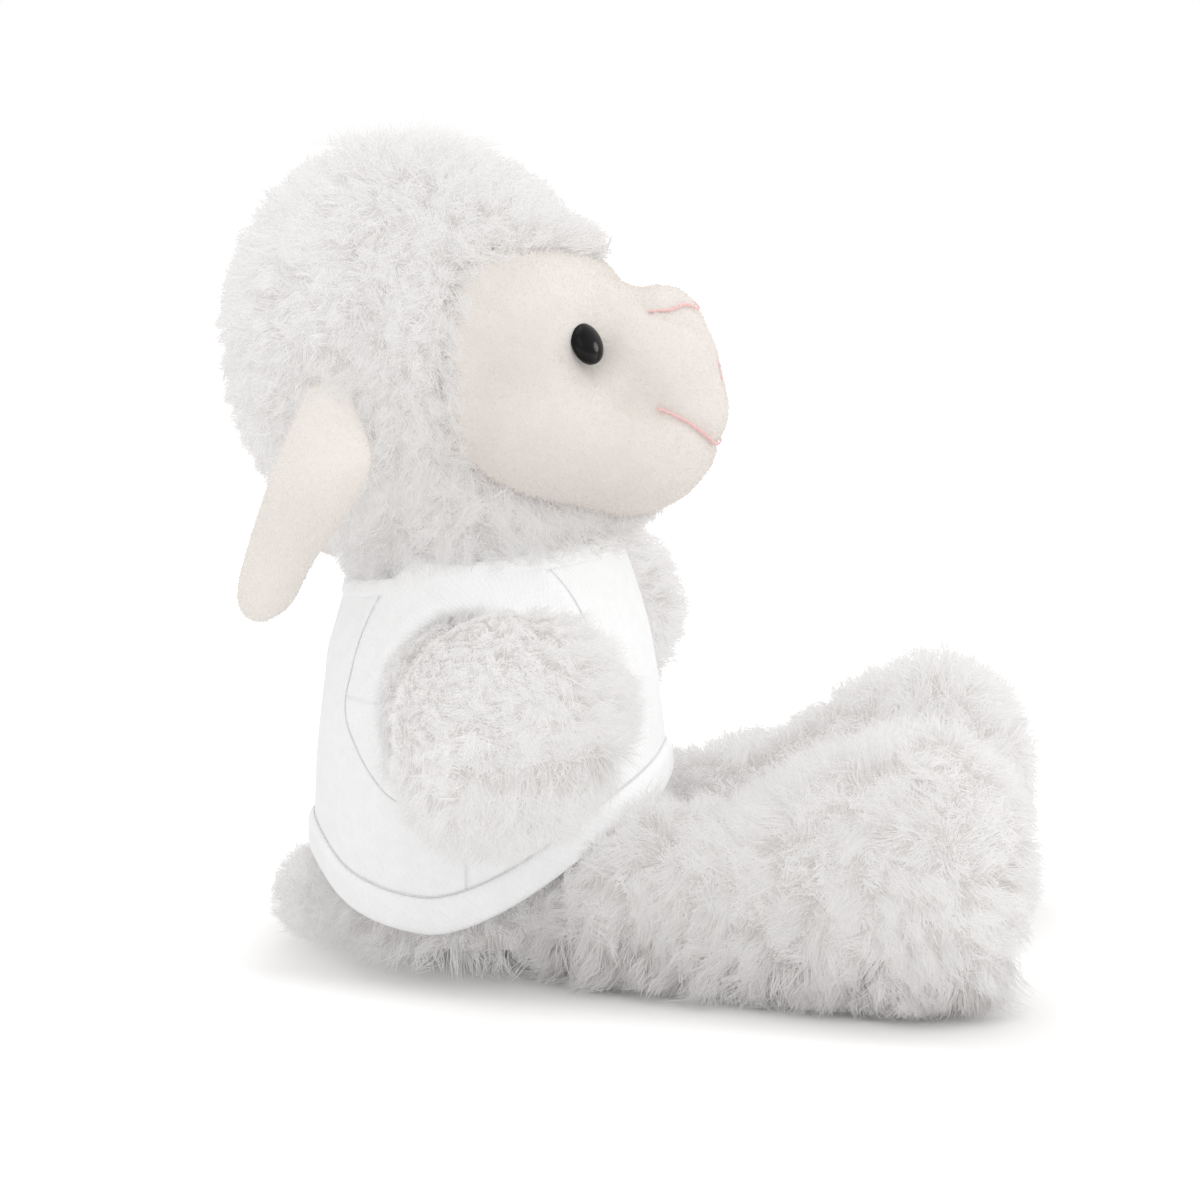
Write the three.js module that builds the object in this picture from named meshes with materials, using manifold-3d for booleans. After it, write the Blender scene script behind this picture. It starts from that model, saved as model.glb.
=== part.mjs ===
// Plush lamb sitting in a sleeveless knit tee, about 200 mm tall.
// Millimetres, +Z up. The lamb faces -Y and its right side is -X. The origin is on the floor, under the
// middle of the toy's outline. Every soft form is a cover with its filling inside.
import * as THREE from "three";
import { mergeVertices } from "three/addons/utils/BufferGeometryUtils.js";
import Module from "manifold-3d";

const wasm = await Module();
wasm.setup();

// Clearances and fabric thicknesses
const SEAM_GAP = 0.3;
const TURN_GAP = 0.5;
const SOCKET_GAP = 0.8;
const PLUSH = 7;
const VELOUR = 2;
const KNIT = 1.2;
const BAND = 1.8;
const THREAD = 1;
const FAR = 150;

// Torso sections from the seat up: height, half width, half depth
const TORSO_Y = 33.5;
const SEAT = { z: 0, wide: 36, deep: 30 };
const HIPS = { z: 14, wide: 44.5, deep: 38.5 };
const BELLY = { z: 42, wide: 46, deep: 40.5 };
const CHEST = { z: 74, wide: 41.5, deep: 37.3 };
const COLLAR = { z: 95, wide: 33.5, deep: 31.5 };
const NECK_TOP = { z: 112, wide: 24, deep: 24 };
const PELLET_BAG_HEIGHT = 22;

// Neck: a ball of filling on a plane that leans back, and the wedge over the collar that the nod needs
const NECK_Z = 97;
const NECK_LEAN = 13.4;
const NECK_BALL = 15;
const NOD_ROOM = 7;
const NOD_REACH = 36;

// Head: centre, half sizes of the wool and of the ruff under it, depth of the curls down to the face's level
const HEAD_Y = 52;
const HEAD_Z = 148;
const HEAD_WOOL = { ahead: 0, up: 0, wide: 48.5, deep: 47, high: 50.5 };
const NECK_RUFF = { ahead: 15, up: -38, wide: 37, deep: 36, high: 30 };
const CURL = 7;

// Lobes of the filled face: offset from the head's centre (forward, up) and half sizes
const FACE_AHEAD = 27;
const FACE_DROP = 10;
const BROW = { ahead: 28, up: 3, wide: 37, deep: 24, high: 23 };
const CHEEKS = { ahead: 31, up: -17, wide: 39, deep: 26, high: 24 };
const MUZZLE = { ahead: 52, up: -7, wide: 24, deep: 21, high: 17.5 };
const JAW = { ahead: 49, up: -24, wide: 28, deep: 22.5, high: 17 };
const NOSE = { ahead: 58.5, up: 7, wide: 14.5, deep: 10.5, high: 7.4 };
const FACE_OPENING = { ahead: 52, up: -11.5, wide: 65, deep: 48, high: 35, reach: 45 };
const LOBE_BLEND = 16;

// Eyes: place on the face, domed button, stem and washer
const EYE_OUT = 27;
const EYE_UP = 2.5;
const EYE_RADIUS = 5.1;
const EYE_DOME = 3.4;
const EYE_SINK = 1;
const EYE_TURN_OUT = 40;
const EYE_TILT_UP = 15;
const STEM_RADIUS = 1.6;
const STEM_LENGTH = 8;
const WASHER_RADIUS = 5.5;
const WASHER_THICK = 1.4;

// Embroidery: ends of each line as (sideways, height above the head's centre)
const NOSE_LINE = [[1.5, 9.2], [6, 10.8], [12, 10]];
const CENTRE_LINE = [[0, 7], [0, -6], [0, -21]];
const MOUTH_LINE = [[1.5, -23.5], [8, -22.5], [15, -18], [20.5, -12]];

// Ears: sections from the root down, as drop below the root, step back, half width, half thickness
const EAR_ROOT_BACK = 14;
const EAR_ROOT_DROP = 9;
const EAR_LENGTH = 51;
const EAR_STAND_OFF = 7;
const EAR_ROOT_ROUND = 3;
const EAR_TIP_ROUND = 6;
const EAR_ROOT = { drop: 0, back: 0, wide: 5.5, thick: 3 };
const EAR_FOLD = { drop: 15, back: 0, wide: 11, thick: 4 };
const EAR_BLADE = { drop: 39, back: 11.5, wide: 8, thick: 2.8 };
const EAR_TIP = { drop: 51, back: 15, wide: 6, thick: 2.4 };

// Arms: shoulder height, root ball, widest part and tip, measured along the arm
const SHOULDER_Z = 67.5;
const ARM_FORWARD = 26;
const ARM_LIFT_RIGHT = -3;
const ARM_LIFT_LEFT = 6;
const ARM_ROOT = 20;
const ARM_MOUTH = 9;
const ARM_NECK = 8;
const ARM_WIDEST = 29;
const ARM_RADIUS = 29;
const ARM_LENGTH = 53;
const ARM_ROUND = 25;
const ARM_RAISE = 13;
const ARM_SPARE = 3;
const ARM_DROP = 15;

// Legs: sections from the hip to the sole as place ahead of the torso's middle, sideways, height, half sizes
const THIGH = { ahead: 12, out: 25, up: 21.5, wide: 19.5, high: 21.5 };
const KNEE = { ahead: 62, out: 38, up: 23.5, wide: 22.5, high: 23.5 };
const ANKLE = { ahead: 88, out: 46, up: 30, wide: 25.5, high: 30.5 };
const FOOT = { ahead: 108, out: 50, up: 33.5, wide: 27.5, high: 33.5 };
const SOLE = { ahead: 132.5, out: 53, up: 36.5, wide: 26, high: 31 };
const THIGH_ROUND = 14;
const SOLE_ROUND = 22;
const FLAT_DEPTH = 0.5;

// Tail
const TAIL_Z = 12.5;
const TAIL_RADIUS = 11.5;
const TAIL_SINK = 1;
const TAIL_LENGTH = 14.5;

// Tee: hem heights at the front, sides and back, band widths, armhole, folds
const HEM_FRONT = 42;
const HEM_SIDE = 13;
const HEM_BACK = 25;
const HEM_WIDTH = 9.5;
const NECKBAND_WIDTH = 4;
const NECKBAND_DROP = 1;
const SLEEVE_BAND_WIDTH = 12;
const ARMHOLE_EASE = 2.6;
const FOLD_DEPTH = 1.2;
const FOLD_COUNT = 7;
const HEM_CURVE = 1.8;
const SLEEVE_STRIP_TURN = 1;

// Mesh fineness
const SIDES = 18;
const HEAD_SIDES = 24;
const TORSO_SIDES = 24;
const EAR_SIDES = 14;
const EYE_SIDES = 16;
const EYE_STEPS = 5;
const RINGS_PER_SIDE = 0.62;
const CORE_SIDES = 12;
const CLOTH_STEPS = 10;
const BAND_STEPS = 48;
const THREAD_STEPS = 10;

const RIGHT = -1;
const LEFT = 1;
const X = new THREE.Vector3(1, 0, 0);
const Y = new THREE.Vector3(0, 1, 0);
const Z = new THREE.Vector3(0, 0, 1);
const radians = THREE.MathUtils.degToRad;

// A closed three.js geometry as a solid that can be joined and cut
function solid(geometry) {
  const bare = new THREE.BufferGeometry();
  bare.setAttribute("position", geometry.getAttribute("position"));
  bare.setIndex(geometry.getIndex());
  const welded = mergeVertices(bare, 1e-4);
  const corners = new Float32Array(welded.getAttribute("position").array);
  const triangles = new Uint32Array(welded.getIndex().array);
  return new wasm.Manifold(new wasm.Mesh({ numProp: 3, vertProperties: corners, triVerts: triangles }));
}

// A solid as a geometry for a mesh
function geometryOf(body) {
  const mesh = body.getMesh();
  const geometry = new THREE.BufferGeometry();
  geometry.setAttribute("position", new THREE.BufferAttribute(new Float32Array(mesh.vertProperties), 3));
  geometry.setIndex(new THREE.BufferAttribute(new Uint32Array(mesh.triVerts), 1));
  geometry.computeVertexNormals();
  return geometry;
}

// Smooth value of one field through a list of sections, at a place along them
function through(sections, place, key, at) {
  const last = sections.length - 1;
  const slope = (i) => {
    const a = sections[Math.max(i - 1, 0)];
    const b = sections[Math.min(i + 1, last)];
    return (b[key] - a[key]) / (b[place] - a[place]);
  };
  const inside = THREE.MathUtils.clamp(at, sections[0][place], sections[last][place]);
  let i = 0;
  while (i < last - 1 && inside > sections[i + 1][place]) {
    i += 1;
  }
  const span = sections[i + 1][place] - sections[i][place];
  const t = (inside - sections[i][place]) / span;
  const fade = t * t * (3 - 2 * t);
  const ease = t * (1 - t) * span;
  const bend = (1 - t) * slope(i) - t * slope(i + 1);
  return sections[i][key] * (1 - fade) + sections[i + 1][key] * fade + ease * bend;
}

// A round-ended form along a straight direction. sectionAt(s) gives the centre and the half sizes of the
// section at s, before the ends are rounded off. inset makes the same form smaller all round.
function swell(form, inset = 0, sides = SIDES, steps = 6, capSteps = 3) {
  const start = form.start + inset;
  const end = form.end - inset;
  const startRound = form.startRound > 0 ? Math.max(form.startRound - inset, 1) : 0;
  const endRound = form.endRound > 0 ? Math.max(form.endRound - inset, 1) : 0;
  const places = [];
  for (let i = 1; i <= capSteps && startRound > 0; i += 1) {
    places.push(start + startRound * (1 - Math.cos((Math.PI / 2) * (i / capSteps))));
  }
  if (startRound === 0) {
    places.push(start);
  }
  const middle = end - endRound - (start + startRound);
  for (let i = 1; i < steps; i += 1) {
    places.push(start + startRound + (middle * i) / steps);
  }
  for (let i = 0; i < capSteps && endRound > 0; i += 1) {
    places.push(end - endRound * (1 - Math.sin((Math.PI / 2) * (i / capSteps))));
  }
  if (endRound === 0) {
    places.push(end);
  }
  const corners = [];
  const triangles = [];
  const put = (point) => corners.push(point.x, point.y, point.z);
  const pole = (s) => put(form.sectionAt(s).centre);
  pole(start);
  for (const s of places) {
    const section = form.sectionAt(s);
    const intoStart = startRound > 0 ? Math.max(0, (start + startRound - s) / startRound) : 0;
    const intoEnd = endRound > 0 ? Math.max(0, (s - end + endRound) / endRound) : 0;
    const round = Math.sqrt(Math.max(0, 1 - Math.max(intoStart, intoEnd) ** 2));
    for (let k = 0; k < sides; k += 1) {
      const turn = (2 * Math.PI * k) / sides;
      const point = section.centre.clone();
      point.addScaledVector(form.wideAxis, (section.wide - inset) * round * Math.cos(turn));
      point.addScaledVector(form.highAxis, (section.high - inset) * round * Math.sin(turn));
      put(point);
    }
  }
  pole(end);
  const top = 1 + places.length * sides;
  for (let k = 0; k < sides; k += 1) {
    const next = (k + 1) % sides;
    triangles.push(0, 1 + next, 1 + k);
    for (let r = 0; r < places.length - 1; r += 1) {
      const a = 1 + r * sides;
      const b = a + sides;
      triangles.push(a + k, a + next, b + next, a + k, b + next, b + k);
    }
    const rim = top - sides;
    triangles.push(top, rim + k, rim + next);
  }
  const ahead = form.sectionAt(end).centre.sub(form.sectionAt(start).centre);
  if (new THREE.Vector3().crossVectors(form.wideAxis, form.highAxis).dot(ahead) < 0) {
    triangles.reverse();
  }
  const geometry = new THREE.BufferGeometry();
  geometry.setAttribute("position", new THREE.BufferAttribute(new Float32Array(corners), 3));
  geometry.setIndex(triangles);
  return solid(geometry);
}

// Ellipsoid with its poles front and back
function ellipsoid(centre, wide, deep, high, sides = SIDES) {
  const ball = new THREE.SphereGeometry(1, sides, Math.round(sides * RINGS_PER_SIDE));
  ball.scale(wide, deep, high);
  ball.translate(centre.x, centre.y, centre.z);
  return solid(ball);
}

function sphere(centre, radius, sides = SIDES) {
  return ellipsoid(centre, radius, radius, radius, sides);
}

// Torso
const TORSO_SECTIONS = [SEAT, HIPS, BELLY, CHEST, COLLAR, NECK_TOP];

function torsoSize(z) {
  const wide = through(TORSO_SECTIONS, "z", "wide", z);
  const deep = through(TORSO_SECTIONS, "z", "deep", z);
  return { wide, deep };
}

const torsoForm = {
  start: SEAT.z,
  end: NECK_TOP.z,
  startRound: 0,
  endRound: 0,
  wideAxis: X,
  highAxis: Y,
  sectionAt(z) {
    const { wide, deep } = torsoSize(z);
    return { centre: new THREE.Vector3(0, TORSO_Y, z), wide, high: deep };
  },
};

// Point on the torso at a turn from the front and a height, moved out by a stand-off
function onTorso(turn, z, out) {
  const { wide, deep } = torsoSize(z);
  return new THREE.Vector3((wide + out) * Math.sin(turn), TORSO_Y - (deep + out) * Math.cos(turn), z);
}

// Neck plane and the rooms above and below it
const neck = new THREE.Vector3(0, TORSO_Y, NECK_Z);
const neckAxis = new THREE.Vector3(0, Math.sin(radians(NECK_LEAN)), Math.cos(radians(NECK_LEAN)));
// Solid of revolution about the neck's axis, from (radius, height) pairs
function aboutNeck(profile) {
  const lathe = new THREE.LatheGeometry(profile.map(([r, h]) => new THREE.Vector2(r, h)), SIDES);
  lathe.applyQuaternion(new THREE.Quaternion().setFromUnitVectors(Y, neckAxis));
  lathe.translate(neck.x, neck.y, neck.z);
  return solid(lathe);
}

const wedgeRise = NOD_REACH * Math.tan(radians(NOD_ROOM));
const belowHead = aboutNeck([[0, -FAR], [NOD_REACH, -FAR], [NOD_REACH, wedgeRise], [0, 0]]);
const aboveTorso = aboutNeck([[0, 0], [FAR, 0], [FAR, FAR], [0, FAR]]);
const neckRoom = sphere(neck, NECK_BALL + TURN_GAP);

// Head and face: each is one smooth skin drawn round several ellipsoids, seen from a point inside it
const head = new THREE.Vector3(0, HEAD_Y, HEAD_Z);
const faceMiddle = new THREE.Vector3(0, HEAD_Y - FACE_AHEAD, HEAD_Z - FACE_DROP);
const shrunk = (lobe, by) => ({ ...lobe, wide: lobe.wide - by, deep: lobe.deep - by, high: lobe.high - by });
const WOOL_LOBES = [HEAD_WOOL, NECK_RUFF];
const CORE_LOBES = WOOL_LOBES.map((lobe) => shrunk(lobe, CURL));
const FACE_LOBES = [...CORE_LOBES, BROW, CHEEKS, MUZZLE, JAW, NOSE];

// How far a lobe reaches from a point in a direction; nothing if the direction misses it
function reach(lobe, from, direction) {
  const size = new THREE.Vector3(lobe.wide, lobe.deep, lobe.high);
  const centre = new THREE.Vector3(0, HEAD_Y - lobe.ahead, HEAD_Z + lobe.up);
  const o = from.clone().sub(centre).divide(size);
  const d = direction.clone().divide(size);
  const along = o.dot(d) / d.lengthSq();
  const left = along * along - (o.lengthSq() - 1) / d.lengthSq();
  return left > 0 ? Math.max(0, Math.sqrt(left) - along) : 0;
}

function skinReach(lobes, from, direction) {
  const sum = lobes.reduce((total, lobe) => total + reach(lobe, from, direction) ** LOBE_BLEND, 0);
  return sum ** (1 / LOBE_BLEND);
}

function smoothSkin(lobes, from, inset, sides) {
  const ball = new THREE.SphereGeometry(1, sides, Math.round(sides * RINGS_PER_SIDE));
  const corners = ball.getAttribute("position");
  const direction = new THREE.Vector3();
  for (let i = 0; i < corners.count; i += 1) {
    direction.fromBufferAttribute(corners, i).normalize();
    const length = skinReach(lobes, from, direction) - inset;
    corners.setXYZ(i, ...direction.multiplyScalar(length).add(from).toArray());
  }
  return solid(ball);
}

const headWool = (gap) => smoothSkin(WOOL_LOBES, head, -gap, HEAD_SIDES);
const faceForm = (inset) => smoothSkin(FACE_LOBES, faceMiddle, inset, HEAD_SIDES);

// Foremost point of the face at a sideways place and a height, and the outward direction there
const faceFront = new THREE.Mesh(geometryOf(faceForm(0)));

function onFace(x, up) {
  const ahead = new THREE.Vector3(x, -FAR, HEAD_Z + up);
  const hit = new THREE.Raycaster(ahead, Y).intersectObject(faceFront)[0];
  return { point: hit.point, outward: hit.face.normal };
}

function faceOpening(gap) {
  const o = FACE_OPENING;
  return swell({
    start: -(o.deep - gap),
    end: o.reach,
    startRound: o.deep - gap,
    endRound: 0,
    wideAxis: X,
    highAxis: Z,
    sectionAt(s) {
      const centre = new THREE.Vector3(0, HEAD_Y - o.ahead - s, HEAD_Z + o.up);
      return { centre, wide: o.wide - gap, high: o.high - gap };
    },
  }, 0, SIDES, 2);
}

// Eyes with stem and washer
function eyeAxis(side) {
  const turnOut = radians(EYE_TURN_OUT);
  const tilt = radians(EYE_TILT_UP);
  const flat = new THREE.Vector3(side * Math.sin(turnOut), -Math.cos(turnOut), 0);
  return flat.multiplyScalar(Math.cos(tilt)).addScaledVector(Z, Math.sin(tilt));
}

// Lathe along the eye's axis; heights are measured from the face's surface outward
function aboutEye(side, profile) {
  const lathe = new THREE.LatheGeometry(profile.map(([r, h]) => new THREE.Vector2(r, h)), EYE_SIDES);
  lathe.applyQuaternion(new THREE.Quaternion().setFromUnitVectors(Y, eyeAxis(side)));
  const seat = onFace(side * EYE_OUT, EYE_UP).point;
  lathe.translate(seat.x, seat.y, seat.z);
  return solid(lathe);
}

function eyeProfile(gap) {
  const profile = [[0, -STEM_LENGTH - gap], [STEM_RADIUS + gap, -STEM_LENGTH - gap]];
  profile.push([STEM_RADIUS + gap, -EYE_SINK - gap], [EYE_RADIUS + gap, -EYE_SINK - gap]);
  for (let i = 0; i < EYE_STEPS; i += 1) {
    const rise = (Math.PI / 2) * (i / EYE_STEPS);
    profile.push([(EYE_RADIUS + gap) * Math.cos(rise), (EYE_DOME + gap) * Math.sin(rise)]);
  }
  profile.push([0, EYE_DOME + gap]);
  return profile;
}

const washerTop = -VELOUR - EYE_SINK - WASHER_THICK;

function washerProfile(gap) {
  const hole = STEM_RADIUS + SEAM_GAP - gap;
  const low = washerTop - WASHER_THICK - gap;
  const high = washerTop + gap;
  return [[hole, low], [WASHER_RADIUS + gap, low], [WASHER_RADIUS + gap, high], [hole, high], [hole, low]];
}

// Room for the washer, up to a height below the face's surface
function washerRoom(side, high) {
  const low = washerTop - WASHER_THICK - SEAM_GAP;
  const rim = WASHER_RADIUS + SEAM_GAP;
  return aboutEye(side, [[0, low], [rim, low], [rim, high], [0, high]]);
}

// A line of embroidery that lies on the face
function threadOn(line, side) {
  const drawn = new THREE.SplineCurve(line.map(([x, up]) => new THREE.Vector2(x, up)));
  const points = drawn.getPoints(THREAD_STEPS).map((p) => {
    const { point, outward } = onFace(side * p.x, p.y);
    return point.addScaledVector(outward, SEAM_GAP + THREAD / 2);
  });
  const section = new THREE.Shape();
  section.absarc(0, 0, THREAD / 2, 0, 2 * Math.PI);
  const path = new THREE.CatmullRomCurve3(points);
  const tube = new THREE.ExtrudeGeometry(section, {
    extrudePath: path,
    steps: THREAD_STEPS,
    curveSegments: 3,
    bevelEnabled: false,
  });
  return solid(tube);
}

// Ears
const EAR_SECTIONS = [EAR_ROOT, EAR_FOLD, EAR_BLADE, EAR_TIP];

// Place on the wool where an ear is sewn in
function earRoot(side) {
  const back = EAR_ROOT_BACK / HEAD_WOOL.deep;
  const drop = EAR_ROOT_DROP / HEAD_WOOL.high;
  const out = HEAD_WOOL.wide * Math.sqrt(1 - back * back - drop * drop);
  return new THREE.Vector3(side * out, HEAD_Y + EAR_ROOT_BACK, HEAD_Z - EAR_ROOT_DROP);
}

function ear(side) {
  const root = earRoot(side);
  const blade = swell({
    start: 0,
    end: EAR_LENGTH,
    startRound: EAR_ROOT_ROUND,
    endRound: EAR_TIP_ROUND,
    wideAxis: Y,
    highAxis: X,
    sectionAt(s) {
      const out = EAR_STAND_OFF * Math.sin((Math.PI / 2) * Math.min(1, s / EAR_FOLD.drop));
      const back = through(EAR_SECTIONS, "drop", "back", s);
      const centre = new THREE.Vector3(root.x + side * out, root.y + back, root.z - s);
      const wide = through(EAR_SECTIONS, "drop", "wide", s);
      const high = through(EAR_SECTIONS, "drop", "thick", s);
      return { centre, wide, high };
    },
  }, 0, EAR_SIDES, 6);
  return blade.subtract(headWool(SEAM_GAP));
}

// Arms
function shoulder(side) {
  const out = torsoSize(SHOULDER_Z).wide;
  return new THREE.Vector3(side * out, TORSO_Y, SHOULDER_Z);
}

const ARM_SECTIONS = [
  { s: 0, r: ARM_ROOT },
  { s: ARM_NECK, r: ARM_ROOT },
  { s: ARM_WIDEST, r: ARM_RADIUS },
  { s: ARM_LENGTH, r: ARM_RADIUS },
];

function armForm(side, start, end, startRound, endRound, radiusAt) {
  const forward = radians(ARM_FORWARD);
  const lift = radians(side === LEFT ? ARM_LIFT_LEFT : ARM_LIFT_RIGHT);
  const along = new THREE.Vector3(side * Math.cos(forward), -Math.sin(forward), Math.tan(lift)).normalize();
  const wideAxis = new THREE.Vector3().crossVectors(Z, along).normalize();
  const root = shoulder(side);
  return {
    start,
    end,
    startRound,
    endRound,
    wideAxis,
    highAxis: new THREE.Vector3().crossVectors(along, wideAxis),
    sectionAt(s) {
      const r = radiusAt(s);
      return { centre: root.clone().addScaledVector(along, s), wide: r, high: r };
    },
  };
}

const armRadius = (s) => through(ARM_SECTIONS, "s", "r", s);

function arm(side, inset, sides = SIDES) {
  const form = armForm(side, -ARM_ROOT, ARM_LENGTH, ARM_ROOT, ARM_ROUND, armRadius);
  return swell(form, inset, sides, sides < SIDES ? 3 : 5);
}

// The open end of the arm's cover, through which it is filled and sewn on
function armMouth(side) {
  return swell(armForm(side, -ARM_ROOT - TURN_GAP, 0, 0, 0, () => ARM_MOUTH), 0, CORE_SIDES, 1);
}

// Room round the arm's root: the socket of its ball, flaring outward by the angle that the arm moves through
function armRoom(side, gap) {
  const ball = ARM_ROOT + gap;
  const travel = radians(Math.max(ARM_RAISE, ARM_DROP) + ARM_SPARE);
  const flare = (s) => (armRadius(s) + gap) / Math.cos(travel) + s * Math.tan(travel);
  const radiusAt = (s) => Math.max(ball, flare(s));
  return swell(armForm(side, -ball, ARM_WIDEST, ball, 0, radiusAt), 0, SIDES, 4, 5);
}

// Legs
const LEG_SECTIONS = [THIGH, KNEE, ANKLE, FOOT, SOLE];

function leg(side, inset, sides = SIDES) {
  return swell({
    start: THIGH.ahead,
    end: SOLE.ahead,
    startRound: THIGH_ROUND,
    endRound: SOLE_ROUND,
    wideAxis: Z,
    highAxis: X,
    sectionAt(s) {
      const out = through(LEG_SECTIONS, "ahead", "out", s);
      const up = through(LEG_SECTIONS, "ahead", "up", s);
      const centre = new THREE.Vector3(side * out, TORSO_Y - s, up - FLAT_DEPTH);
      const wide = through(LEG_SECTIONS, "ahead", "high", s);
      const high = through(LEG_SECTIONS, "ahead", "wide", s);
      return { centre, wide, high };
    },
  }, inset, sides, sides < SIDES ? 5 : 7);
}

// Tail
const tailRoot = onTorso(Math.PI, TAIL_Z, -TAIL_SINK);

function tail(inset, sides = SIDES) {
  return swell({
    start: -(TAIL_RADIUS),
    end: TAIL_LENGTH,
    startRound: TAIL_RADIUS,
    endRound: TAIL_LENGTH,
    wideAxis: X,
    highAxis: Z,
    sectionAt(s) {
      return { centre: tailRoot.clone().addScaledVector(Y, s), wide: TAIL_RADIUS, high: TAIL_RADIUS };
    },
  }, inset, sides, 1);
}

// Tee: sheets that follow the torso between two height lines
function hemHeight(turn) {
  const front = Math.max(0, Math.cos(turn));
  const back = Math.max(0, -Math.cos(turn));
  return HEM_SIDE + (HEM_FRONT - HEM_SIDE) * front ** HEM_CURVE + (HEM_BACK - HEM_SIDE) * back ** HEM_CURVE;
}

// Height of the neckline: where the torso's outside meets a line a little under the neck plane
function neckHeight(turn) {
  let z = NECK_Z;
  const slope = Math.tan(radians(NECK_LEAN));
  for (let i = 0; i < 8; i += 1) {
    z = NECK_Z - slope * (onTorso(turn, z, 0).y - TORSO_Y);
  }
  return z - NECKBAND_DROP;
}

function foldOut(turn, share) {
  const wave = 0.5 - 0.5 * Math.cos(FOLD_COUNT * turn);
  return FOLD_DEPTH * wave * (1 - share) ** 2;
}

// Closed sheet from turn a to turn b; low and high give its edges, inner and outer its two stand-offs
function sheet(a, b, low, high, inner, outer, across, up) {
  const closed = b - a > 2 * Math.PI - 0.01;
  const corners = [];
  const triangles = [];
  const columns = closed ? across : across + 1;
  for (const layer of [inner, outer]) {
    for (let i = 0; i < columns; i += 1) {
      const turn = a + ((b - a) * i) / across;
      for (let j = 0; j <= up; j += 1) {
        const share = j / up;
        const z = low(turn) + (high(turn) - low(turn)) * share;
        const clothShare = (z - hemHeight(turn)) / (neckHeight(turn) - hemHeight(turn));
        const p = onTorso(turn, z, layer + foldOut(turn, THREE.MathUtils.clamp(clothShare, 0, 1)));
        corners.push(p.x, p.y, p.z);
      }
    }
  }
  const at = (layer, i, j) => layer * columns * (up + 1) + (i % columns) * (up + 1) + j;
  const quad = (p, q, r, s) => triangles.push(p, q, r, p, r, s);
  for (let i = 0; i < across; i += 1) {
    for (let j = 0; j < up; j += 1) {
      quad(at(1, i, j), at(1, i + 1, j), at(1, i + 1, j + 1), at(1, i, j + 1));
      quad(at(0, i, j), at(0, i, j + 1), at(0, i + 1, j + 1), at(0, i + 1, j));
    }
    quad(at(0, i, 0), at(0, i + 1, 0), at(1, i + 1, 0), at(1, i, 0));
    quad(at(0, i, up), at(1, i, up), at(1, i + 1, up), at(0, i + 1, up));
  }
  for (let j = 0; j < up && !closed; j += 1) {
    quad(at(0, 0, j), at(1, 0, j), at(1, 0, j + 1), at(0, 0, j + 1));
    quad(at(0, across, j), at(0, across, j + 1), at(1, across, j + 1), at(1, across, j));
  }
  const geometry = new THREE.BufferGeometry();
  geometry.setAttribute("position", new THREE.BufferAttribute(new Float32Array(corners), 3));
  geometry.setIndex(triangles);
  return solid(geometry);
}

const clothIn = SEAM_GAP;
const clothOut = clothIn + KNIT;
const panelLow = (turn) => hemHeight(turn) + HEM_WIDTH + SEAM_GAP;
const panelHigh = (turn) => neckHeight(turn) - NECKBAND_WIDTH - SEAM_GAP;
const seamTurn = SEAM_GAP / BELLY.wide;
const quarter = Math.PI / 2;

// Solid pieces
const torsoOuter = swell(torsoForm, 0, TORSO_SIDES, 9);
const torsoInner = swell(torsoForm, PLUSH, CORE_SIDES, 5);
const torsoFill = swell(torsoForm, PLUSH + SEAM_GAP, CORE_SIDES, 5);
const sides = [RIGHT, LEFT];
const floorFlat = new THREE.BoxGeometry(2 * FAR, 2 * FAR, FAR).translate(0, 0, -FAR / 2);
const floor = solid(floorFlat);

let torsoCuts = aboveTorso.add(tail(-TURN_GAP)).add(neckRoom);
for (const side of sides) {
  torsoCuts = torsoCuts.add(armRoom(side, SOCKET_GAP));
}
const torsoPlush = torsoOuter.subtract(torsoInner).subtract(torsoCuts);
const pelletRoof = SEAT.z + PLUSH + PELLET_BAG_HEIGHT;
const layer = (low, high) => {
  const slab = new THREE.BoxGeometry(2 * FAR, 2 * FAR, high - low);
  return solid(slab.translate(0, 0, (low + high) / 2));
};
const pelletBag = torsoFill.intersect(layer(SEAT.z, pelletRoof)).subtract(torsoCuts);
const torsoStuffing = torsoFill.subtract(layer(SEAT.z, pelletRoof + SEAM_GAP)).subtract(torsoCuts);

const neckStuffing = sphere(neck, NECK_BALL);

const opening = faceOpening(0);
const faceIn = faceForm(VELOUR);
let headFill = faceForm(VELOUR + SEAM_GAP);
const wool = headWool(0).subtract(faceIn).subtract(opening).subtract(belowHead).subtract(neckRoom);
let face = faceForm(0).subtract(faceIn).intersect(faceOpening(SEAM_GAP)).subtract(belowHead);
headFill = headFill.subtract(belowHead).subtract(neckRoom);
for (const side of sides) {
  const eyeRoom = aboutEye(side, eyeProfile(SEAM_GAP));
  face = face.subtract(eyeRoom).subtract(washerRoom(side, washerTop + SEAM_GAP));
  headFill = headFill.subtract(eyeRoom).subtract(washerRoom(side, 0));
}

const skin = (color) => new THREE.MeshStandardMaterial({ color, roughness: 0.95, metalness: 0 });
const WOOL_WHITE = skin(0xece9e8);
const CREAM = skin(0xeee6de);
const KNIT_WHITE = skin(0xfafafa);
const PINK = skin(0xf0b4b4);
const FIBRE = skin(0xf6f6f4);
const CANVAS = skin(0xd8d4cc);
const EYE_BLACK = new THREE.MeshStandardMaterial({ color: 0x08080a, roughness: 0.1, metalness: 0 });
const WASHER_WHITE = new THREE.MeshStandardMaterial({ color: 0xe0e0e0, roughness: 0.5, metalness: 0 });

function piece(name, body, material) {
  const mesh = new THREE.Mesh(geometryOf(body), material);
  mesh.name = name;
  return mesh;
}

const lamb = new THREE.Group();
const torsoGroup = new THREE.Group();
const headGroup = new THREE.Group();
lamb.add(torsoGroup, headGroup);

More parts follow.
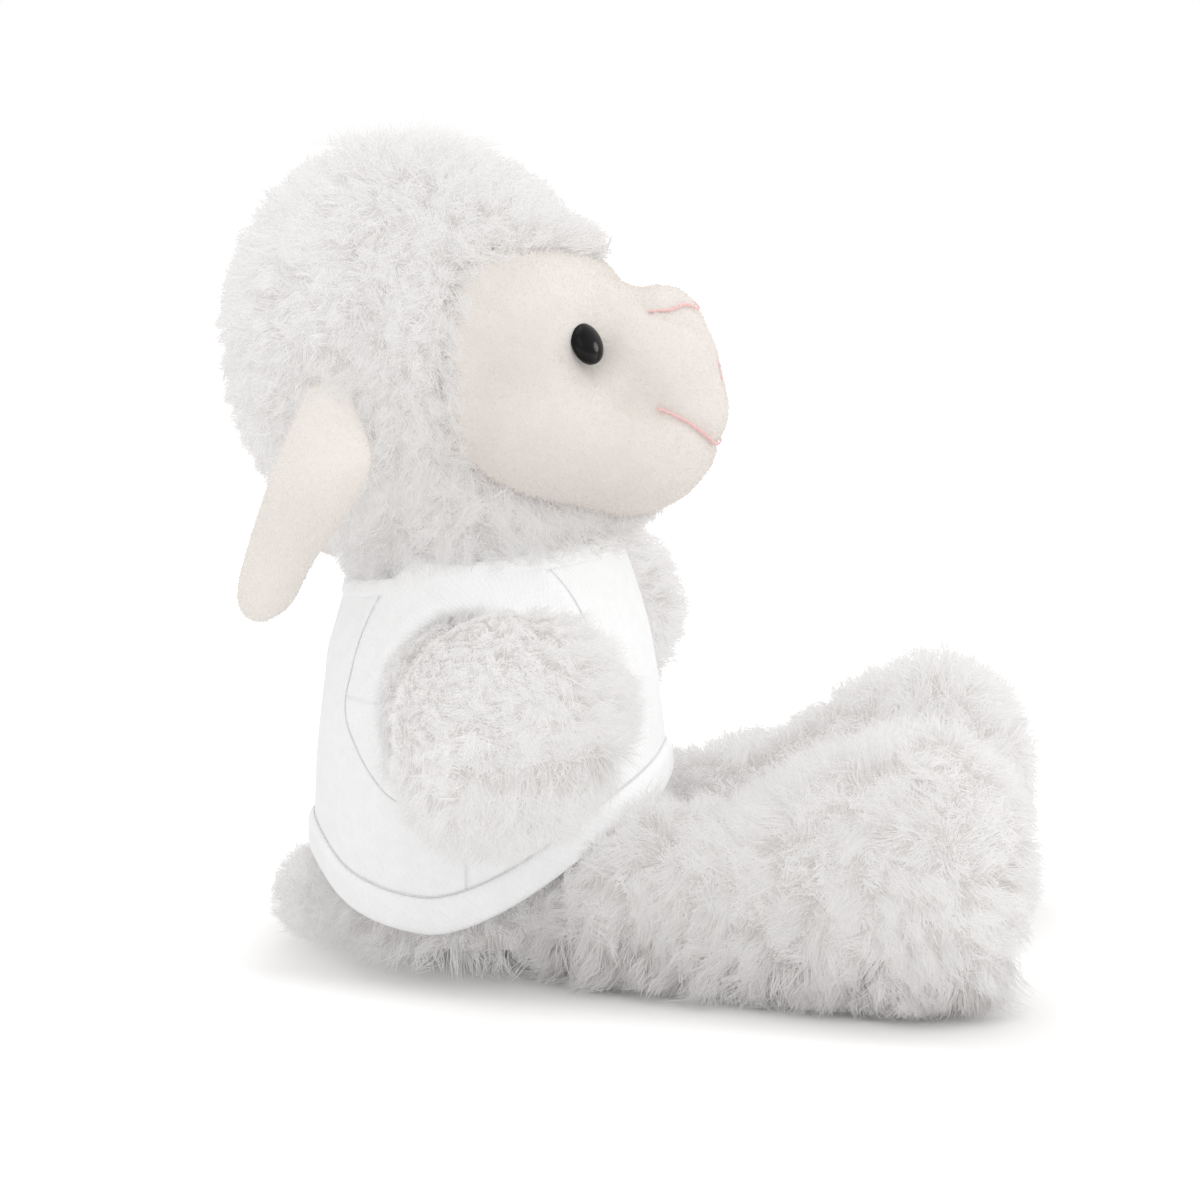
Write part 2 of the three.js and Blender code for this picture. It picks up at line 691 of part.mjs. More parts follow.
torsoGroup.add(
  piece("torso_plush", torsoPlush, WOOL_WHITE),
  piece("torso_stuffing", torsoStuffing, FIBRE),
  piece("pellet_bag", pelletBag, CANVAS),
  piece("neck_stuffing", neckStuffing, FIBRE),
  piece("tail_plush", tail(0), WOOL_WHITE),
);
headGroup.add(
  piece("head_wool", wool, WOOL_WHITE),
  piece("face_panel", face, CREAM),
  piece("head_stuffing", headFill, FIBRE),
  piece("centre_stitch", threadOn(CENTRE_LINE, LEFT), PINK),
);

const hemBand = sheet(0, 2 * Math.PI, hemHeight, (t) => hemHeight(t) + HEM_WIDTH, clothIn, clothIn + BAND,
  BAND_STEPS, 2);
const neckband = sheet(0, 2 * Math.PI, (t) => neckHeight(t) - NECKBAND_WIDTH, neckHeight, clothIn,
  clothIn + BAND, BAND_STEPS, 1);
let teeFront = sheet(-quarter + seamTurn, quarter - seamTurn, panelLow, panelHigh, clothIn, clothOut,
  2 * CLOTH_STEPS, CLOTH_STEPS);
let teeBack = sheet(quarter + seamTurn, 3 * quarter - seamTurn, panelLow, panelHigh, clothIn, clothOut,
  2 * CLOTH_STEPS, CLOTH_STEPS);
let legClear = swell(torsoForm, -SEAM_GAP, TORSO_SIDES, 9);
legClear = legClear.add(sheet(0, 2 * Math.PI, (t) => hemHeight(t) - SEAM_GAP, neckHeight, -PLUSH,
  clothIn + BAND + SEAM_GAP, BAND_STEPS, 6));

for (const side of sides) {
  const word = side === RIGHT ? "right" : "left";
  const hole = armRoom(side, ARMHOLE_EASE);
  const bandEdge = sphere(shoulder(side), ARM_ROOT + ARMHOLE_EASE + SLEEVE_BAND_WIDTH, SIDES);
  const bandLow = clothOut + SEAM_GAP;
  const seam = side * quarter;
  const strip = sheet(seam - SLEEVE_STRIP_TURN, seam + SLEEVE_STRIP_TURN, panelLow, panelHigh, bandLow,
    bandLow + BAND, CLOTH_STEPS, CLOTH_STEPS);
  const sleeveBand = strip.intersect(bandEdge).subtract(hole);
  teeFront = teeFront.subtract(hole);
  teeBack = teeBack.subtract(hole);
  torsoGroup.add(piece(`tee_sleeve_band_${word}`, sleeveBand, KNIT_WHITE));

  const armIn = arm(side, PLUSH, CORE_SIDES).add(armMouth(side));
  torsoGroup.add(piece(`arm_${word}_plush`, arm(side, 0).subtract(armIn), WOOL_WHITE));
  torsoGroup.add(piece(`arm_${word}_stuffing`, arm(side, PLUSH + SEAM_GAP, CORE_SIDES), FIBRE));

  const legOut = leg(side, 0).subtract(legClear).subtract(floor);
  torsoGroup.add(piece(`leg_${word}_plush`, legOut.subtract(leg(side, PLUSH, CORE_SIDES)), WOOL_WHITE));
  const legFill = leg(side, PLUSH + SEAM_GAP, CORE_SIDES).subtract(legClear);
  torsoGroup.add(piece(`leg_${word}_stuffing`, legFill, FIBRE));

  headGroup.add(
    piece(`ear_${word}`, ear(side), CREAM),
    piece(`eye_${word}`, aboutEye(side, eyeProfile(0)), EYE_BLACK),
    piece(`eye_washer_${word}`, aboutEye(side, washerProfile(0)), WASHER_WHITE),
    piece(`nose_stitch_${word}`, threadOn(NOSE_LINE, side), PINK),
    piece(`mouth_stitch_${word}`, threadOn(MOUTH_LINE, side), PINK),
  );
}

torsoGroup.add(
  piece("tee_front", teeFront, KNIT_WHITE),
  piece("tee_back", teeBack, KNIT_WHITE),
  piece("tee_hem_band", hemBand, KNIT_WHITE),
  piece("tee_neckband", neckband, KNIT_WHITE),
);

export default lamb;
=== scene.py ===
import math

import bpy
import numpy as np
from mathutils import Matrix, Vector, kdtree


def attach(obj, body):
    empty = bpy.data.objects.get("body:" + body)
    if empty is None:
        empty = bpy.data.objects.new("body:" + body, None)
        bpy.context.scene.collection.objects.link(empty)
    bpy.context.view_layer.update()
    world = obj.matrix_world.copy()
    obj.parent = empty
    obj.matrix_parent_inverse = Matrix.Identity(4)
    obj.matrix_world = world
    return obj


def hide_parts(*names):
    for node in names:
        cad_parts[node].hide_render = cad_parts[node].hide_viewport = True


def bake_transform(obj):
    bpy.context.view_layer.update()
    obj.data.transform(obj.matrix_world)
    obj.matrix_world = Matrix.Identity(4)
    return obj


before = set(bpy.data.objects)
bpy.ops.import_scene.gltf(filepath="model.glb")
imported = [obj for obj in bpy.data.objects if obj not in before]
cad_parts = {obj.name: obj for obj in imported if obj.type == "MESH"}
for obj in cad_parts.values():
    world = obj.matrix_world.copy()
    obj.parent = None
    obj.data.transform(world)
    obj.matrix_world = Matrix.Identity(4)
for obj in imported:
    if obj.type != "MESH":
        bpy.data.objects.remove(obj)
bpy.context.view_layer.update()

# Sizes in millimetres, in the shared frame: +Z up, the lamb faces -Y, its right side is -X.
# A SPAN is where a form starts and ends along its axis, and how far its two ends are rounded.
MM = 0.001
X_WAY, Y_WAY, UP = np.eye(3)
SIDES = (("right", -1), ("left", 1))

TORSO_Y = 33.5
TORSO_WIDE = [(0, 36), (14, 44.5), (42, 46), (74, 41.5), (95, 33.5), (112, 24)]
TORSO_DEEP = [(0, 30), (14, 38.5), (42, 40.5), (74, 37.3), (95, 31.5), (112, 24)]
TORSO_SPAN = (0, 101, 8, 8)
# Mean radius of the body, which turns angles round it into lengths
BODY_ROUND = 42.0
NECK_Z, NECK_LEAN = 97.0, math.radians(13.4)
NECK_Y, NECK_RADIUS, NECK_SPAN = 34.0, 29.5, (86, 110, 7, 7)

HEAD = np.array([0, 52.0, 148.0])
FACE_MIDDLE, FACE_FRONT = np.array([0, 25.0, 138.0]), np.array([0, -15.0, 138.0])
# Lobes of the head as place ahead of and above its centre, half width, half depth, half height
LOBES = [(0, 0, 41.5, 40, 43.5), (15, -38, 30, 29, 23), (28, 3, 37, 24, 23), (31, -17, 39, 26, 24),
         (52, -6, 24, 21, 19), (49, -24, 28, 22.5, 17), (54, -16, 20, 20.5, 13),
         (58.5, 6.8, 12.5, 8.2, 6.4)]
LOBE_BLEND = 16
OPENING = {"z": 136.5, "deep": 38.5, "high": 31.5, "spread": 0.24, "drop": 29, "slope": 0.33}
# Shares of the opening where the velour ends, and where the wool's backing and its curls begin
VELOUR_END, BACKING_START, CURL_START = 1.1, 1.02, 0.9
VELOUR_THICK, BACKING_THICK = 2, 3

EYE_OUT, EYE_UP, EYE_CLEAR = 27, 2.5, 6
EYE_TURN, EYE_TILT, EYE_SINK = math.radians(28), math.radians(24), 0.4
# Stem and flange of an eye as radius and height, then its dome
EYE_STEM = [(0.8, -8), (1.5, -7.6), (1.6, -1.2), (4.7, -1.0), (5.0, -0.6)]
EYE_RADIUS, EYE_RIM, EYE_DOME = 5.1, 0.2, 2.5

# Lines of the face as sideways place and height above the head's centre
NOSE_LINE = [(1.5, 8.4), (7, 10.2), (13.5, 9.0)]
CENTRE_LINE = [(0, 7), (0, -6), (0, -21)]
GROOVE_LINE = [(18.3, 10.6), (22.3, 3.5), (24, -4), (22.5, -11.5)]
MOUTH_LINE = [(1.5, -23.5), (8, -22.5), (15, -18.6), (21.3, -13)]
# How deep and how wide the eyes and the lines are pressed into the face, the lines at a number of points
EYE_PRESS, CENTRE_PRESS = (1.1, 7), (0.8, 1.8)
LINE_PRESSES = [(MOUTH_LINE, 30, 1.0, 2.2), (GROOVE_LINE, 30, 2.0, 4.5), (NOSE_LINE, 20, 1.0, 2.2)]
FACE_STITCH = {"pitch": 1.6, "long": 2.1, "radius": 0.4}
THREAD_SINK, CENTRE_SINK = 0.35, 1.3

EAR_ROOT = np.array([45.5, 66.0, 139.0])
EAR_OUT = [(-3, -4), (0, -3), (16, 8), (34, 5.5), (51, 6.5)]
EAR_BACK = [(0, 0), (15, 0), (39, 11.5), (51, 15)]
EAR_WIDE = [(0, 5.5), (15, 11), (39, 8), (51, 6)]
EAR_THICK = [(0, 3), (15, 4), (39, 2.8), (51, 2.4)]
EAR_SPAN, EAR_CUP = (-3, 51, 3, 6), 2.6

SHOULDER = np.array([42.9, 33.5, 67.5])
ARM_FORWARD = math.radians(26)
ARM_LIFT = {-1: math.radians(-3), 1: math.radians(6)}
ARM_RADIUS = [(0, 20), (8, 20), (29, 29), (53, 29)]
ARM_SPAN = (-20, 53, 20, 25)
# The skin under the arm's pile: how much fuller it is along the arm, and how far it sits back and up
ARM_PLUMP = [(0, 4), (8, 2), (29, 1), (53, 1)]
ARM_SET, ARM_SET_FULL = np.array([0, 1.5, 2.5]), 29
PAW_SEAM = {"y": 8, "half": 13, "z": 62, "out": 70, "fade": 6}
ARM_HOLE = {"along": 22, "up": 20.5, "top": 99}

LEG_OUT = [(12, 25), (62, 38), (88, 46), (108, 50), (132.5, 53)]
LEG_UP = [(12, 21), (62, 23), (88, 29.5), (108, 33), (132.5, 36)]
LEG_WIDE = [(12, 19.5), (62, 22.5), (88, 25.5), (108, 27.5), (132.5, 26)]
LEG_HIGH = [(12, 21.5), (62, 23.5), (88, 30.5), (108, 33.5), (132.5, 31)]
LEG_SPAN = (12, 132.5, 14, 22)
# How much the thigh rises for each millimetre that it stands out from under the hem
THIGH_RISE = 1.4
# How far the upper edge of the sole leans back, and the height where that starts
SOLE_LEAN, SOLE_BEND = 0.009, 38

TAIL = np.array([0, 70.5, 12.5])
TAIL_RADIUS, TAIL_SPAN = 11.5, (-11.5, 14.5, 11.5, 14.5)

# How far the skins lie inside the solids, to leave room for the fur
LIMB_INSET, TORSO_INSET, TAIL_INSET = 6, 5, 4
# Lowest height over the floor of the seat's skin, of the leg's skin and of the fur
SEAT_LOW, LEG_LOW, FUR_LOW = 1.5, 3, 0.3
# How far the fur of the legs and of the arms starts inside the tee, and where the legs' fringe ends
LEG_TUCK, ARM_TUCK, FRINGE_TOP = 3, 4, 15
STRAND = 0.3
SHORT_NAP = {"long": 1.1, "wide": 0.16, "clump": 10, "draw": 0.5, "wave": 0, "steps": 1}

HEM_FRONT, HEM_SIDE, HEM_BACK, HEM_CURVE, HEM_BEHIND = 42, 13, 25, 1.8, 0.26
HEM_WIDTH, NECKBAND_WIDTH, SLEEVE_BAND_WIDTH = 9.5, 4, 14
COLLAR_LIFT = 3.5
CLOTH_OUT, CLOTH_THICK, CLOTH_ROUND = 1.0, 1.0, 43
# How far the panels reach under the bands and stay clear of the armhole, and end before the side, in radians
HEM_LAP, NECK_LAP, HOLE_CLEAR, SIDE_GAP = 2, 1.5, 3, 0.0004
SEAM_OUT, SEAM_PAST = 1.6, 0.1
TEE_STITCH = {"pitch": 1.3, "long": 1.5, "sides": 6}
FOLDS = [  # (turn, height) from, to, width, depth
    ((1.75, 60), (2.35, 26), 5.0, 1.3),
    ((1.5, 40), (2.0, 24), 4.0, 1.0),
    ((1.95, 78), (2.75, 50), 6.0, 1.1),
    ((1.2, 42), (0.75, 52), 4.5, 1.1),
    ((0.9, 78), (0.45, 60), 5.0, 0.9),
    ((2.6, 84), (3.0, 70), 5.0, 0.8),
]

FLOOR_HALF, FLOOR_DROP = 4000, 0.4
# In metres: the toy's footprint on the floor, lights as name, place, width and watts, and the camera
FOOTPRINT = {"half": 0.05, "spread": 0.33, "middle": -0.012, "length": 0.088, "fade": 0.6}
# Painted light on the floor: its glow by distance from the footprint, rising away from the toy so that the
# toy's shadow stays close to it
FLOOR_PAINTED_LIGHT = [(0.0, 0.0), (0.05, 0.2), (0.2, 0.4), (1.0, 1.0)]
SKY_LIGHT = 0.92
LIGHTS = [("key", (-0.82, -0.33, 0.76), 0.9, 1.4), ("top", (0.15, 0.0, 1.5), 1.4, 4.2),
          ("front", (0.35, -0.88, 0.33), 0.3, 1.3)]
LIGHT_TARGET, CAMERA_TARGET = Vector((0, 0.01, 0.09)), Vector((0, 0.0075, 0.086))
CAMERA_TURN, CAMERA_RISE = math.radians(276), math.radians(9)
CAMERA_LENS, CAMERA_SENSOR = 124.57, 36


# Shapes

def through(rows, at):
    """Smooth curve through (place, value) rows, at an array of places."""
    x, y = np.array(rows, float).T
    last = len(x) - 1
    before = np.maximum(np.arange(last + 1) - 1, 0)
    after = np.minimum(np.arange(last + 1) + 1, last)
    slope = (y[after] - y[before]) / (x[after] - x[before])
    at = np.clip(np.asarray(at, float), x[0], x[-1])
    i = np.clip(np.searchsorted(x, at) - 1, 0, last - 1)
    span = x[i + 1] - x[i]
    t = (at - x[i]) / span
    ease = t * t * (3 - 2 * t)
    bend = (1 - t) * slope[i] - t * slope[i + 1]
    return y[i] * (1 - ease) + y[i + 1] * ease + t * (1 - t) * span * bend


def fade(x, start, end):
    """0 at start, 1 at end, straight between them and level beyond."""
    return np.clip((x - start) / (end - start), 0, 1)


def bell(x, width):
    """1 at nought, falling off to both sides."""
    return np.exp(-(x / width) ** 2)


def unit(v):
    return v / np.maximum(np.linalg.norm(v, axis=-1, keepdims=True), 1e-9)


def along_skin(way, normal):
    """What is left of each direction along the skin."""
    return way - (way * normal).sum(1, keepdims=True) * normal


def round_turn(sides):
    return np.linspace(0, 2 * math.pi, sides, endpoint=False)


def ring_faces(rings, sides, first=0):
    """Quads of a stack of closed rings, written from the first vertex on."""
    r, k = np.meshgrid(np.arange(rings - 1), np.arange(sides), indexing="ij")
    a = first + r * sides + k
    b = first + r * sides + (k + 1) % sides
    return np.stack([a, b, b + sides, a + sides], -1).reshape(-1, 4).tolist()


def outward(verts, faces):
    """Faces turned so that a closed form's volume is positive."""
    p, q, r = (verts[[f[k] for f in faces]] for k in range(3))
    if (p * np.cross(q, r)).sum() < 0:
        return [f[::-1] for f in faces]
    return faces


def closed(verts, rings, sides):
    """Form of a stack of rings, closed by the last two vertices at its ends."""
    low, top, rim = len(verts) - 2, len(verts) - 1, (rings - 1) * sides
    faces = ring_faces(rings, sides)
    faces += [[low, (k + 1) % sides, k] for k in range(sides)]
    faces += [[top, rim + k, rim + (k + 1) % sides] for k in range(sides)]
    return verts, outward(verts, faces)


def loft(start, end, start_round, end_round, section, across, up, inset=0, sides=48, rings=36, caps=10):
    """Closed form with round ends. section(s) gives the centres and half sizes at an array of places."""
    a, b = start + inset, end - inset
    ra, rb = max(start_round - inset, 0.5), max(end_round - inset, 0.5)
    turn = np.linspace(0, math.pi / 2, caps + 1)
    s = np.concatenate([a + ra * (1 - np.cos(turn[1:])),
                        np.linspace(a + ra, b - rb, rings)[1:-1],
                        b - rb * (1 - np.sin(turn[:-1]))])
    centre, wide, high = section(s)
    into = np.maximum(np.maximum(0, (a + ra - s) / ra), np.maximum(0, (s - b + rb) / rb))
    full = np.sqrt(np.maximum(0, 1 - into ** 2))
    angle = round_turn(sides)
    verts = (centre[:, None, :]
             + ((wide - inset) * full)[:, None, None] * np.cos(angle)[None, :, None] * across
             + ((high - inset) * full)[:, None, None] * np.sin(angle)[None, :, None] * up)
    ends = section(np.array([a, b], float))[0]
    return closed(np.concatenate([verts.reshape(-1, 3), ends]), len(s), sides)


def lathe(profile, seat, axis, sides=48):
    """Closed form turned round an axis, from rows of radius and height over its seat."""
    radius, height = np.array(profile, float).T
    a = unit(np.cross(axis, UP))
    b = np.cross(axis, a)
    angle = round_turn(sides)
    ring = np.cos(angle)[:, None] * a + np.sin(angle)[:, None] * b
    middle = seat + height[:, None] * axis
    verts = middle[:, None] + radius[:, None, None] * ring
    return closed(np.concatenate([verts.reshape(-1, 3), middle[[0, -1]]]), len(profile), sides)


def part_of(verts, faces):
    """Some of a form's faces, with only the vertices that they use."""
    used = sorted({i for f in faces for i in f})
    place = {old: new for new, old in enumerate(used)}
    return verts[used], [[place[i] for i in f] for f in faces]


def triangles_of(faces):
    return np.array([[f[0], f[k], f[k + 1]] for f in faces for k in range(1, len(f) - 1)])


def vertex_normals(verts, tris):
    n = np.zeros_like(verts)
    face = np.cross(verts[tris[:, 1]] - verts[tris[:, 0]], verts[tris[:, 2]] - verts[tris[:, 0]])
    for k in range(3):
        np.add.at(n, tris[:, k], face)
    return unit(n)


# Objects

pieces = {}


def add_object(name, data):
    """New object in the scene, kept under its name."""
    obj = bpy.data.objects.new(name, data)
    bpy.context.scene.collection.objects.link(obj)
    pieces[name] = obj
    return obj


def mesh_object(name, verts, faces, material):
    mesh = bpy.data.meshes.new(name)
    mesh.from_pydata((np.asarray(verts) * MM).tolist(), [], faces)
    mesh.polygons.foreach_set("use_smooth", np.ones(len(mesh.polygons), bool))
    mesh.materials.append(material)
    mesh.update()
    return add_object(name, mesh)


def give_uv(obj, name, per_vertex):
    layer = obj.data.uv_layers.new(name=name)
    loops = np.zeros(len(obj.data.loops), np.int32)
    obj.data.loops.foreach_get("vertex_index", loops)
    layer.data.foreach_set("uv", np.asarray(per_vertex, np.float32)[loops].ravel())


def thicken(obj, thick, offset):
    solid = obj.modifiers.new("solidify", "SOLIDIFY")
    solid.thickness = thick * MM
    solid.offset = offset


def nearest_leader(root, clump, rng):
    """Some of the roots as leaders, one in clump, and for every root the number of its nearest leader."""
    leaders = rng.choice(len(root), max(len(root) // clump, 1), replace=False)
    tree = kdtree.KDTree(len(leaders))
    for i, k in enumerate(leaders):
        tree.insert(root[k], i)
    tree.balance()
    return leaders, np.array([tree.find(p)[1] for p in root])


def pile(name, form, material, seed, count, long, wide=STRAND, keep=None, comb=None, stray=0.4,
         clump=16, draw=0.7, wave=0.2, steps=3, floor=None, swirl=0.0, shades=False):
    """Fur as tapered strands rooted on a skin, drawn together in tufts that lie in larger swirls."""
    rng = np.random.default_rng(seed)
    verts, tris = form[0], triangles_of(form[1])
    vn = vertex_normals(verts, tris)
    a, b, c = (verts[tris[:, k]] for k in range(3))
    area = np.linalg.norm(np.cross(b - a, c - a), axis=1)
    pick = rng.choice(len(tris), count, p=area / area.sum())
    r, q = np.sqrt(rng.random(count)), rng.random(count)
    share = np.stack([1 - r, r * (1 - q), r * q], 1)[:, :, None]
    root = (verts[tris[pick]] * share).sum(1)
    normal = unit((vn[tris[pick]] * share).sum(1))
    if keep is not None:
        kept = keep(root, normal, rng)
        root, normal = root[kept], normal[kept]
    n = len(root)

    # Where each strand would end alone: its own length and lay, and the swirl of its lock of nine tufts
    length = (long(root) if callable(long) else long) * (0.72 + 0.56 * rng.random(n))
    lay = comb(root, normal) if comb is not None else 0
    drift = unit(along_skin(rng.normal(size=(n, 3)), normal))
    locks, lock = nearest_leader(root, clump * 9, rng)
    turn = unit(along_skin(rng.normal(size=(len(locks), 3))[lock], normal))
    length *= (1 + 0.5 * swirl * (rng.random(len(locks)) - 0.5))[lock]
    way = unit(normal + lay + stray * drift + swirl * turn)
    tip = root + way * length[:, None]

    # The tips of a tuft drawn together, and the wave that its strands share
    leaders, mine = nearest_leader(root, clump, rng)
    pull = ((draw(root) if callable(draw) else draw) * (0.55 + 0.45 * rng.random(n)))[:, None]
    tip += (tip[leaders[mine]] - tip) * pull
    swing = unit(along_skin(rng.normal(size=(len(leaders), 3))[mine], normal))
    phase = (rng.random(len(leaders)) * 2 * math.pi)[mine] + rng.normal(size=n) * 0.35
    middle = root + (normal * 0.62 + way * 0.2) * (length * 0.62)[:, None]

    t = np.arange(steps + 1) / steps
    u = t[None, :, None]
    curve = (1 - u) ** 2 * root[:, None] + 2 * u * (1 - u) * middle[:, None] + u ** 2 * tip[:, None]
    sway = np.sin(2.2 * math.pi * t[None, :] + phase[:, None]) - np.sin(phase)[:, None]
    curve += swing[:, None] * (sway * (wave * length)[:, None])[:, :, None]
    if floor is not None:
        low = floor + 2.2 * rng.random(n)[:, None] ** 2
        curve[:, :, 2] = np.maximum(curve[:, :, 2], low)

    # A flat ribbon along each curve, narrowing to a point
    side = unit(np.cross(tip - root, normal + 0.35 * rng.normal(size=(n, 3))))
    half = 0.5 * wide * (0.75 + 0.5 * rng.random(n))[:, None] * ((1 - t[:-1]) ** 0.6)[None, :]
    aside = side[:, None] * half[:, :, None]
    pairs = np.stack([curve[:, :-1] - aside, curve[:, :-1] + aside], 2).reshape(n, 2 * steps, 3)
    points = np.concatenate([pairs, curve[:, -1:]], 1)
    per = 2 * steps + 1
    loop = [i for k in range(steps - 1) for i in (2 * k, 2 * k + 1, 2 * k + 3, 2 * k + 2)]
    loop += [2 * steps - 2, 2 * steps - 1, 2 * steps]
    corners = (np.arange(n)[:, None] * per + np.array(loop)[None, :]).ravel()
    sizes = np.tile(np.array([4] * (steps - 1) + [3]), n)
    starts = np.concatenate([[0], np.cumsum(sizes)[:-1]])

    mesh = bpy.data.meshes.new(name)
    mesh.vertices.add(n * per)
    mesh.vertices.foreach_set("co", (points * MM).astype(np.float32).ravel())
    mesh.loops.add(len(corners))
    mesh.loops.foreach_set("vertex_index", corners.astype(np.int32))
    mesh.polygons.add(len(sizes))
    mesh.polygons.foreach_set("loop_start", starts.astype(np.int32))
    mesh.polygons.foreach_set("use_smooth", np.ones(len(sizes), bool))
    mesh.materials.append(material)
    mesh.update(calc_edges=True)
    obj = add_object(name, mesh)
    give_uv(obj, "OFBake", np.stack([np.repeat(rng.random(n), per), np.tile(np.repeat(t, 2)[:-1], n)], 1))
    obj.visible_diffuse = shades
    obj.visible_transmission = shades


# Materials

def new_material(name):
    material = bpy.data.materials.new(name)
    material.use_nodes = True
    tree = material.node_tree
    return material, tree, tree.nodes["Principled BSDF"]


def feed(tree, socket, value):
    """Sets an input, or links it where the value is another node's output."""
    if isinstance(value, bpy.types.NodeSocket):
        tree.links.new(value, socket)
    else:
        socket.default_value = value


def dress(tree, made, **inputs):
    """Feeds a node's inputs by name."""
    for key, value in inputs.items():
        feed(tree, made.inputs[key.replace("_", " ")], value)
    return made


def node(tree, kind, **inputs):
    return dress(tree, tree.nodes.new(kind), **inputs)


def math_node(tree, operation, *values):
    made = tree.nodes.new("ShaderNodeMath")
    made.operation = operation
    for socket, value in zip(made.inputs, values):
        feed(tree, socket, value)
    return made.outputs["Value"]


def mix_shaders(tree, share, first, second):
    made = node(tree, "ShaderNodeMixShader", Fac=share)
    tree.links.new(first, made.inputs[1])
    tree.links.new(second, made.inputs[2])
    return made.outputs["Shader"]


def ramp(tree, at, stops, interpolation="LINEAR"):
    made = node(tree, "ShaderNodeValToRGB", Fac=at)
    made.color_ramp.interpolation = interpolation
    while len(made.color_ramp.elements) < len(stops):
        made.color_ramp.elements.new(0.5)
    for element, (place, color) in zip(made.color_ramp.elements, stops):
        element.position = place
        element.color = (*color, 1)
    return made.outputs["Color"]


def noise(tree, vector, **inputs):
    return node(tree, "ShaderNodeTexNoise", Vector=vector, **inputs).outputs["Fac"]


def bump(tree, height, strength, distance):
    made = node(tree, "ShaderNodeBump", Height=height, Strength=strength, Distance=distance)
    return made.outputs["Normal"]


def greys(stops):
    return [(place, (level,) * 3) for place, level in stops]


def object_place(tree):
    return tree.nodes.new("ShaderNodeTexCoord").outputs["Object"]


def map_place(tree, name):
    made = tree.nodes.new("ShaderNodeUVMap")
    made.uv_map = name
    return made.outputs["UV"]


def pile_material(name, root, tip, shade):
    """Strand colour from the strand's own map: a random tint across, and upward from a painted shade at the
    root, standing in for the shade deep in the pile, to the tip's own colour.
    """
    material, tree, bsdf = new_material(name)
    strand = node(tree, "ShaderNodeSeparateXYZ", Vector=map_place(tree, "OFBake"))
    # Painted shade: each strand darkens toward its root, where the pile lies deep
    along = ramp(tree, strand.outputs["Y"], [(0.0, root), (0.55, tip), (1.0, tip)])
    tint = ramp(tree, strand.outputs["X"], [(0.0, shade), (0.5, (1, 1, 1)), (1.0, (1, 1, 1))])
    mix = tree.nodes.new("ShaderNodeMix")
    mix.data_type = "RGBA"
    mix.blend_type = "MULTIPLY"
    color = dress(tree, mix, Factor=1, A=along, B=tint).outputs["Result"]
    dress(tree, bsdf, Base_Color=color, Roughness=0.85, Specular_IOR_Level=0.1)
    through_light = node(tree, "ShaderNodeBsdfTranslucent", Color=color)
    both = mix_shaders(tree, 0.5, bsdf.outputs["BSDF"], through_light.outputs["BSDF"])
    tree.links.new(both, tree.nodes["Material Output"].inputs["Surface"])
    return material


def fabric_material(name, pale, dark, scale, nap, depth, sheen):
    """Cloth with a fine nap: mottled colour and a short-pile bump."""
    material, tree, bsdf = new_material(name)
    place = object_place(tree)
    blot = noise(tree, place, Scale=scale, Detail=5.0, Roughness=0.6)
    fine = noise(tree, place, Scale=nap, Detail=3.0, Roughness=0.7)
    dress(tree, bsdf, Base_Color=ramp(tree, blot, [(0.3, dark), (0.7, pale)]),
          Normal=bump(tree, fine, 0.6, depth), Roughness=0.92, Specular_IOR_Level=0.2,
          Sheen_Weight=sheen, Sheen_Roughness=0.5)
    return material


def knit_material(name):
    """Jersey: columns of small V loops from the cloth's own map, in millimetres, over a faint mottle."""
    material, tree, bsdf = new_material(name)
    cloth = map_place(tree, "cloth")
    columns = node(tree, "ShaderNodeTexWave", Vector=cloth, Scale=0.36, Distortion=0.6, Detail=1.0)
    columns.bands_direction = "X"
    rows = node(tree, "ShaderNodeTexWave", Vector=cloth, Scale=0.42, Distortion=0.8, Detail=1.0)
    rows.bands_direction = "DIAGONAL"
    loops = math_node(tree, "ADD", columns.outputs["Fac"], rows.outputs["Fac"])
    blot = noise(tree, cloth, Scale=0.22, Detail=4.0, Roughness=0.6)
    dress(tree, bsdf, Base_Color=ramp(tree, blot, [(0.3, (0.9, 0.9, 0.905)), (0.7, (0.935, 0.935, 0.94))]),
          Normal=bump(tree, loops, 0.35, 0.00025), Roughness=0.9, Specular_IOR_Level=0.2, Sheen_Weight=0.15)
    return material


def plastic_material(name, color, rough, specular, speck):
    """Moulded plastic with a trace of unevenness in its gloss."""
    material, tree, bsdf = new_material(name)
    uneven = noise(tree, object_place(tree), Scale=speck, Detail=2.0)
    spread = ramp(tree, uneven, greys([(0.2, rough * 0.8), (0.8, rough * 1.25)]))
    dress(tree, bsdf, Base_Color=(*color, 1), Roughness=spread, Specular_IOR_Level=specular)
    return material


# In the pile materials, the first colour is painted shade at the strands' roots, the second the tips' own
# colour, the third the darkest random tint
WOOL = pile_material("wool_pile", (0.64, 0.61, 0.6), (0.89, 0.88, 0.876), (0.9, 0.89, 0.885))
BACKING = fabric_material("wool_backing", (0.88, 0.865, 0.86), (0.8, 0.785, 0.78), 180, 900, 0.0012, 0.1)
VELOUR = fabric_material("velour", (0.82, 0.775, 0.735), (0.785, 0.735, 0.69), 160, 2600, 0.0005, 0.25)
# Painted light: the ears' velour and nap are lighter copies of the face's, the same cloth made brighter on
# the ears; the nap's darker root colour is painted shade
LIT_EAR_VELOUR = fabric_material("ear_velour", (0.87, 0.825, 0.785), (0.84, 0.79, 0.745), 160, 2600, 0.0005,
                             0.25)
LIT_EAR_NAP = pile_material("ear_nap", (0.83, 0.78, 0.735), (0.88, 0.845, 0.81), (0.95, 0.945, 0.94))
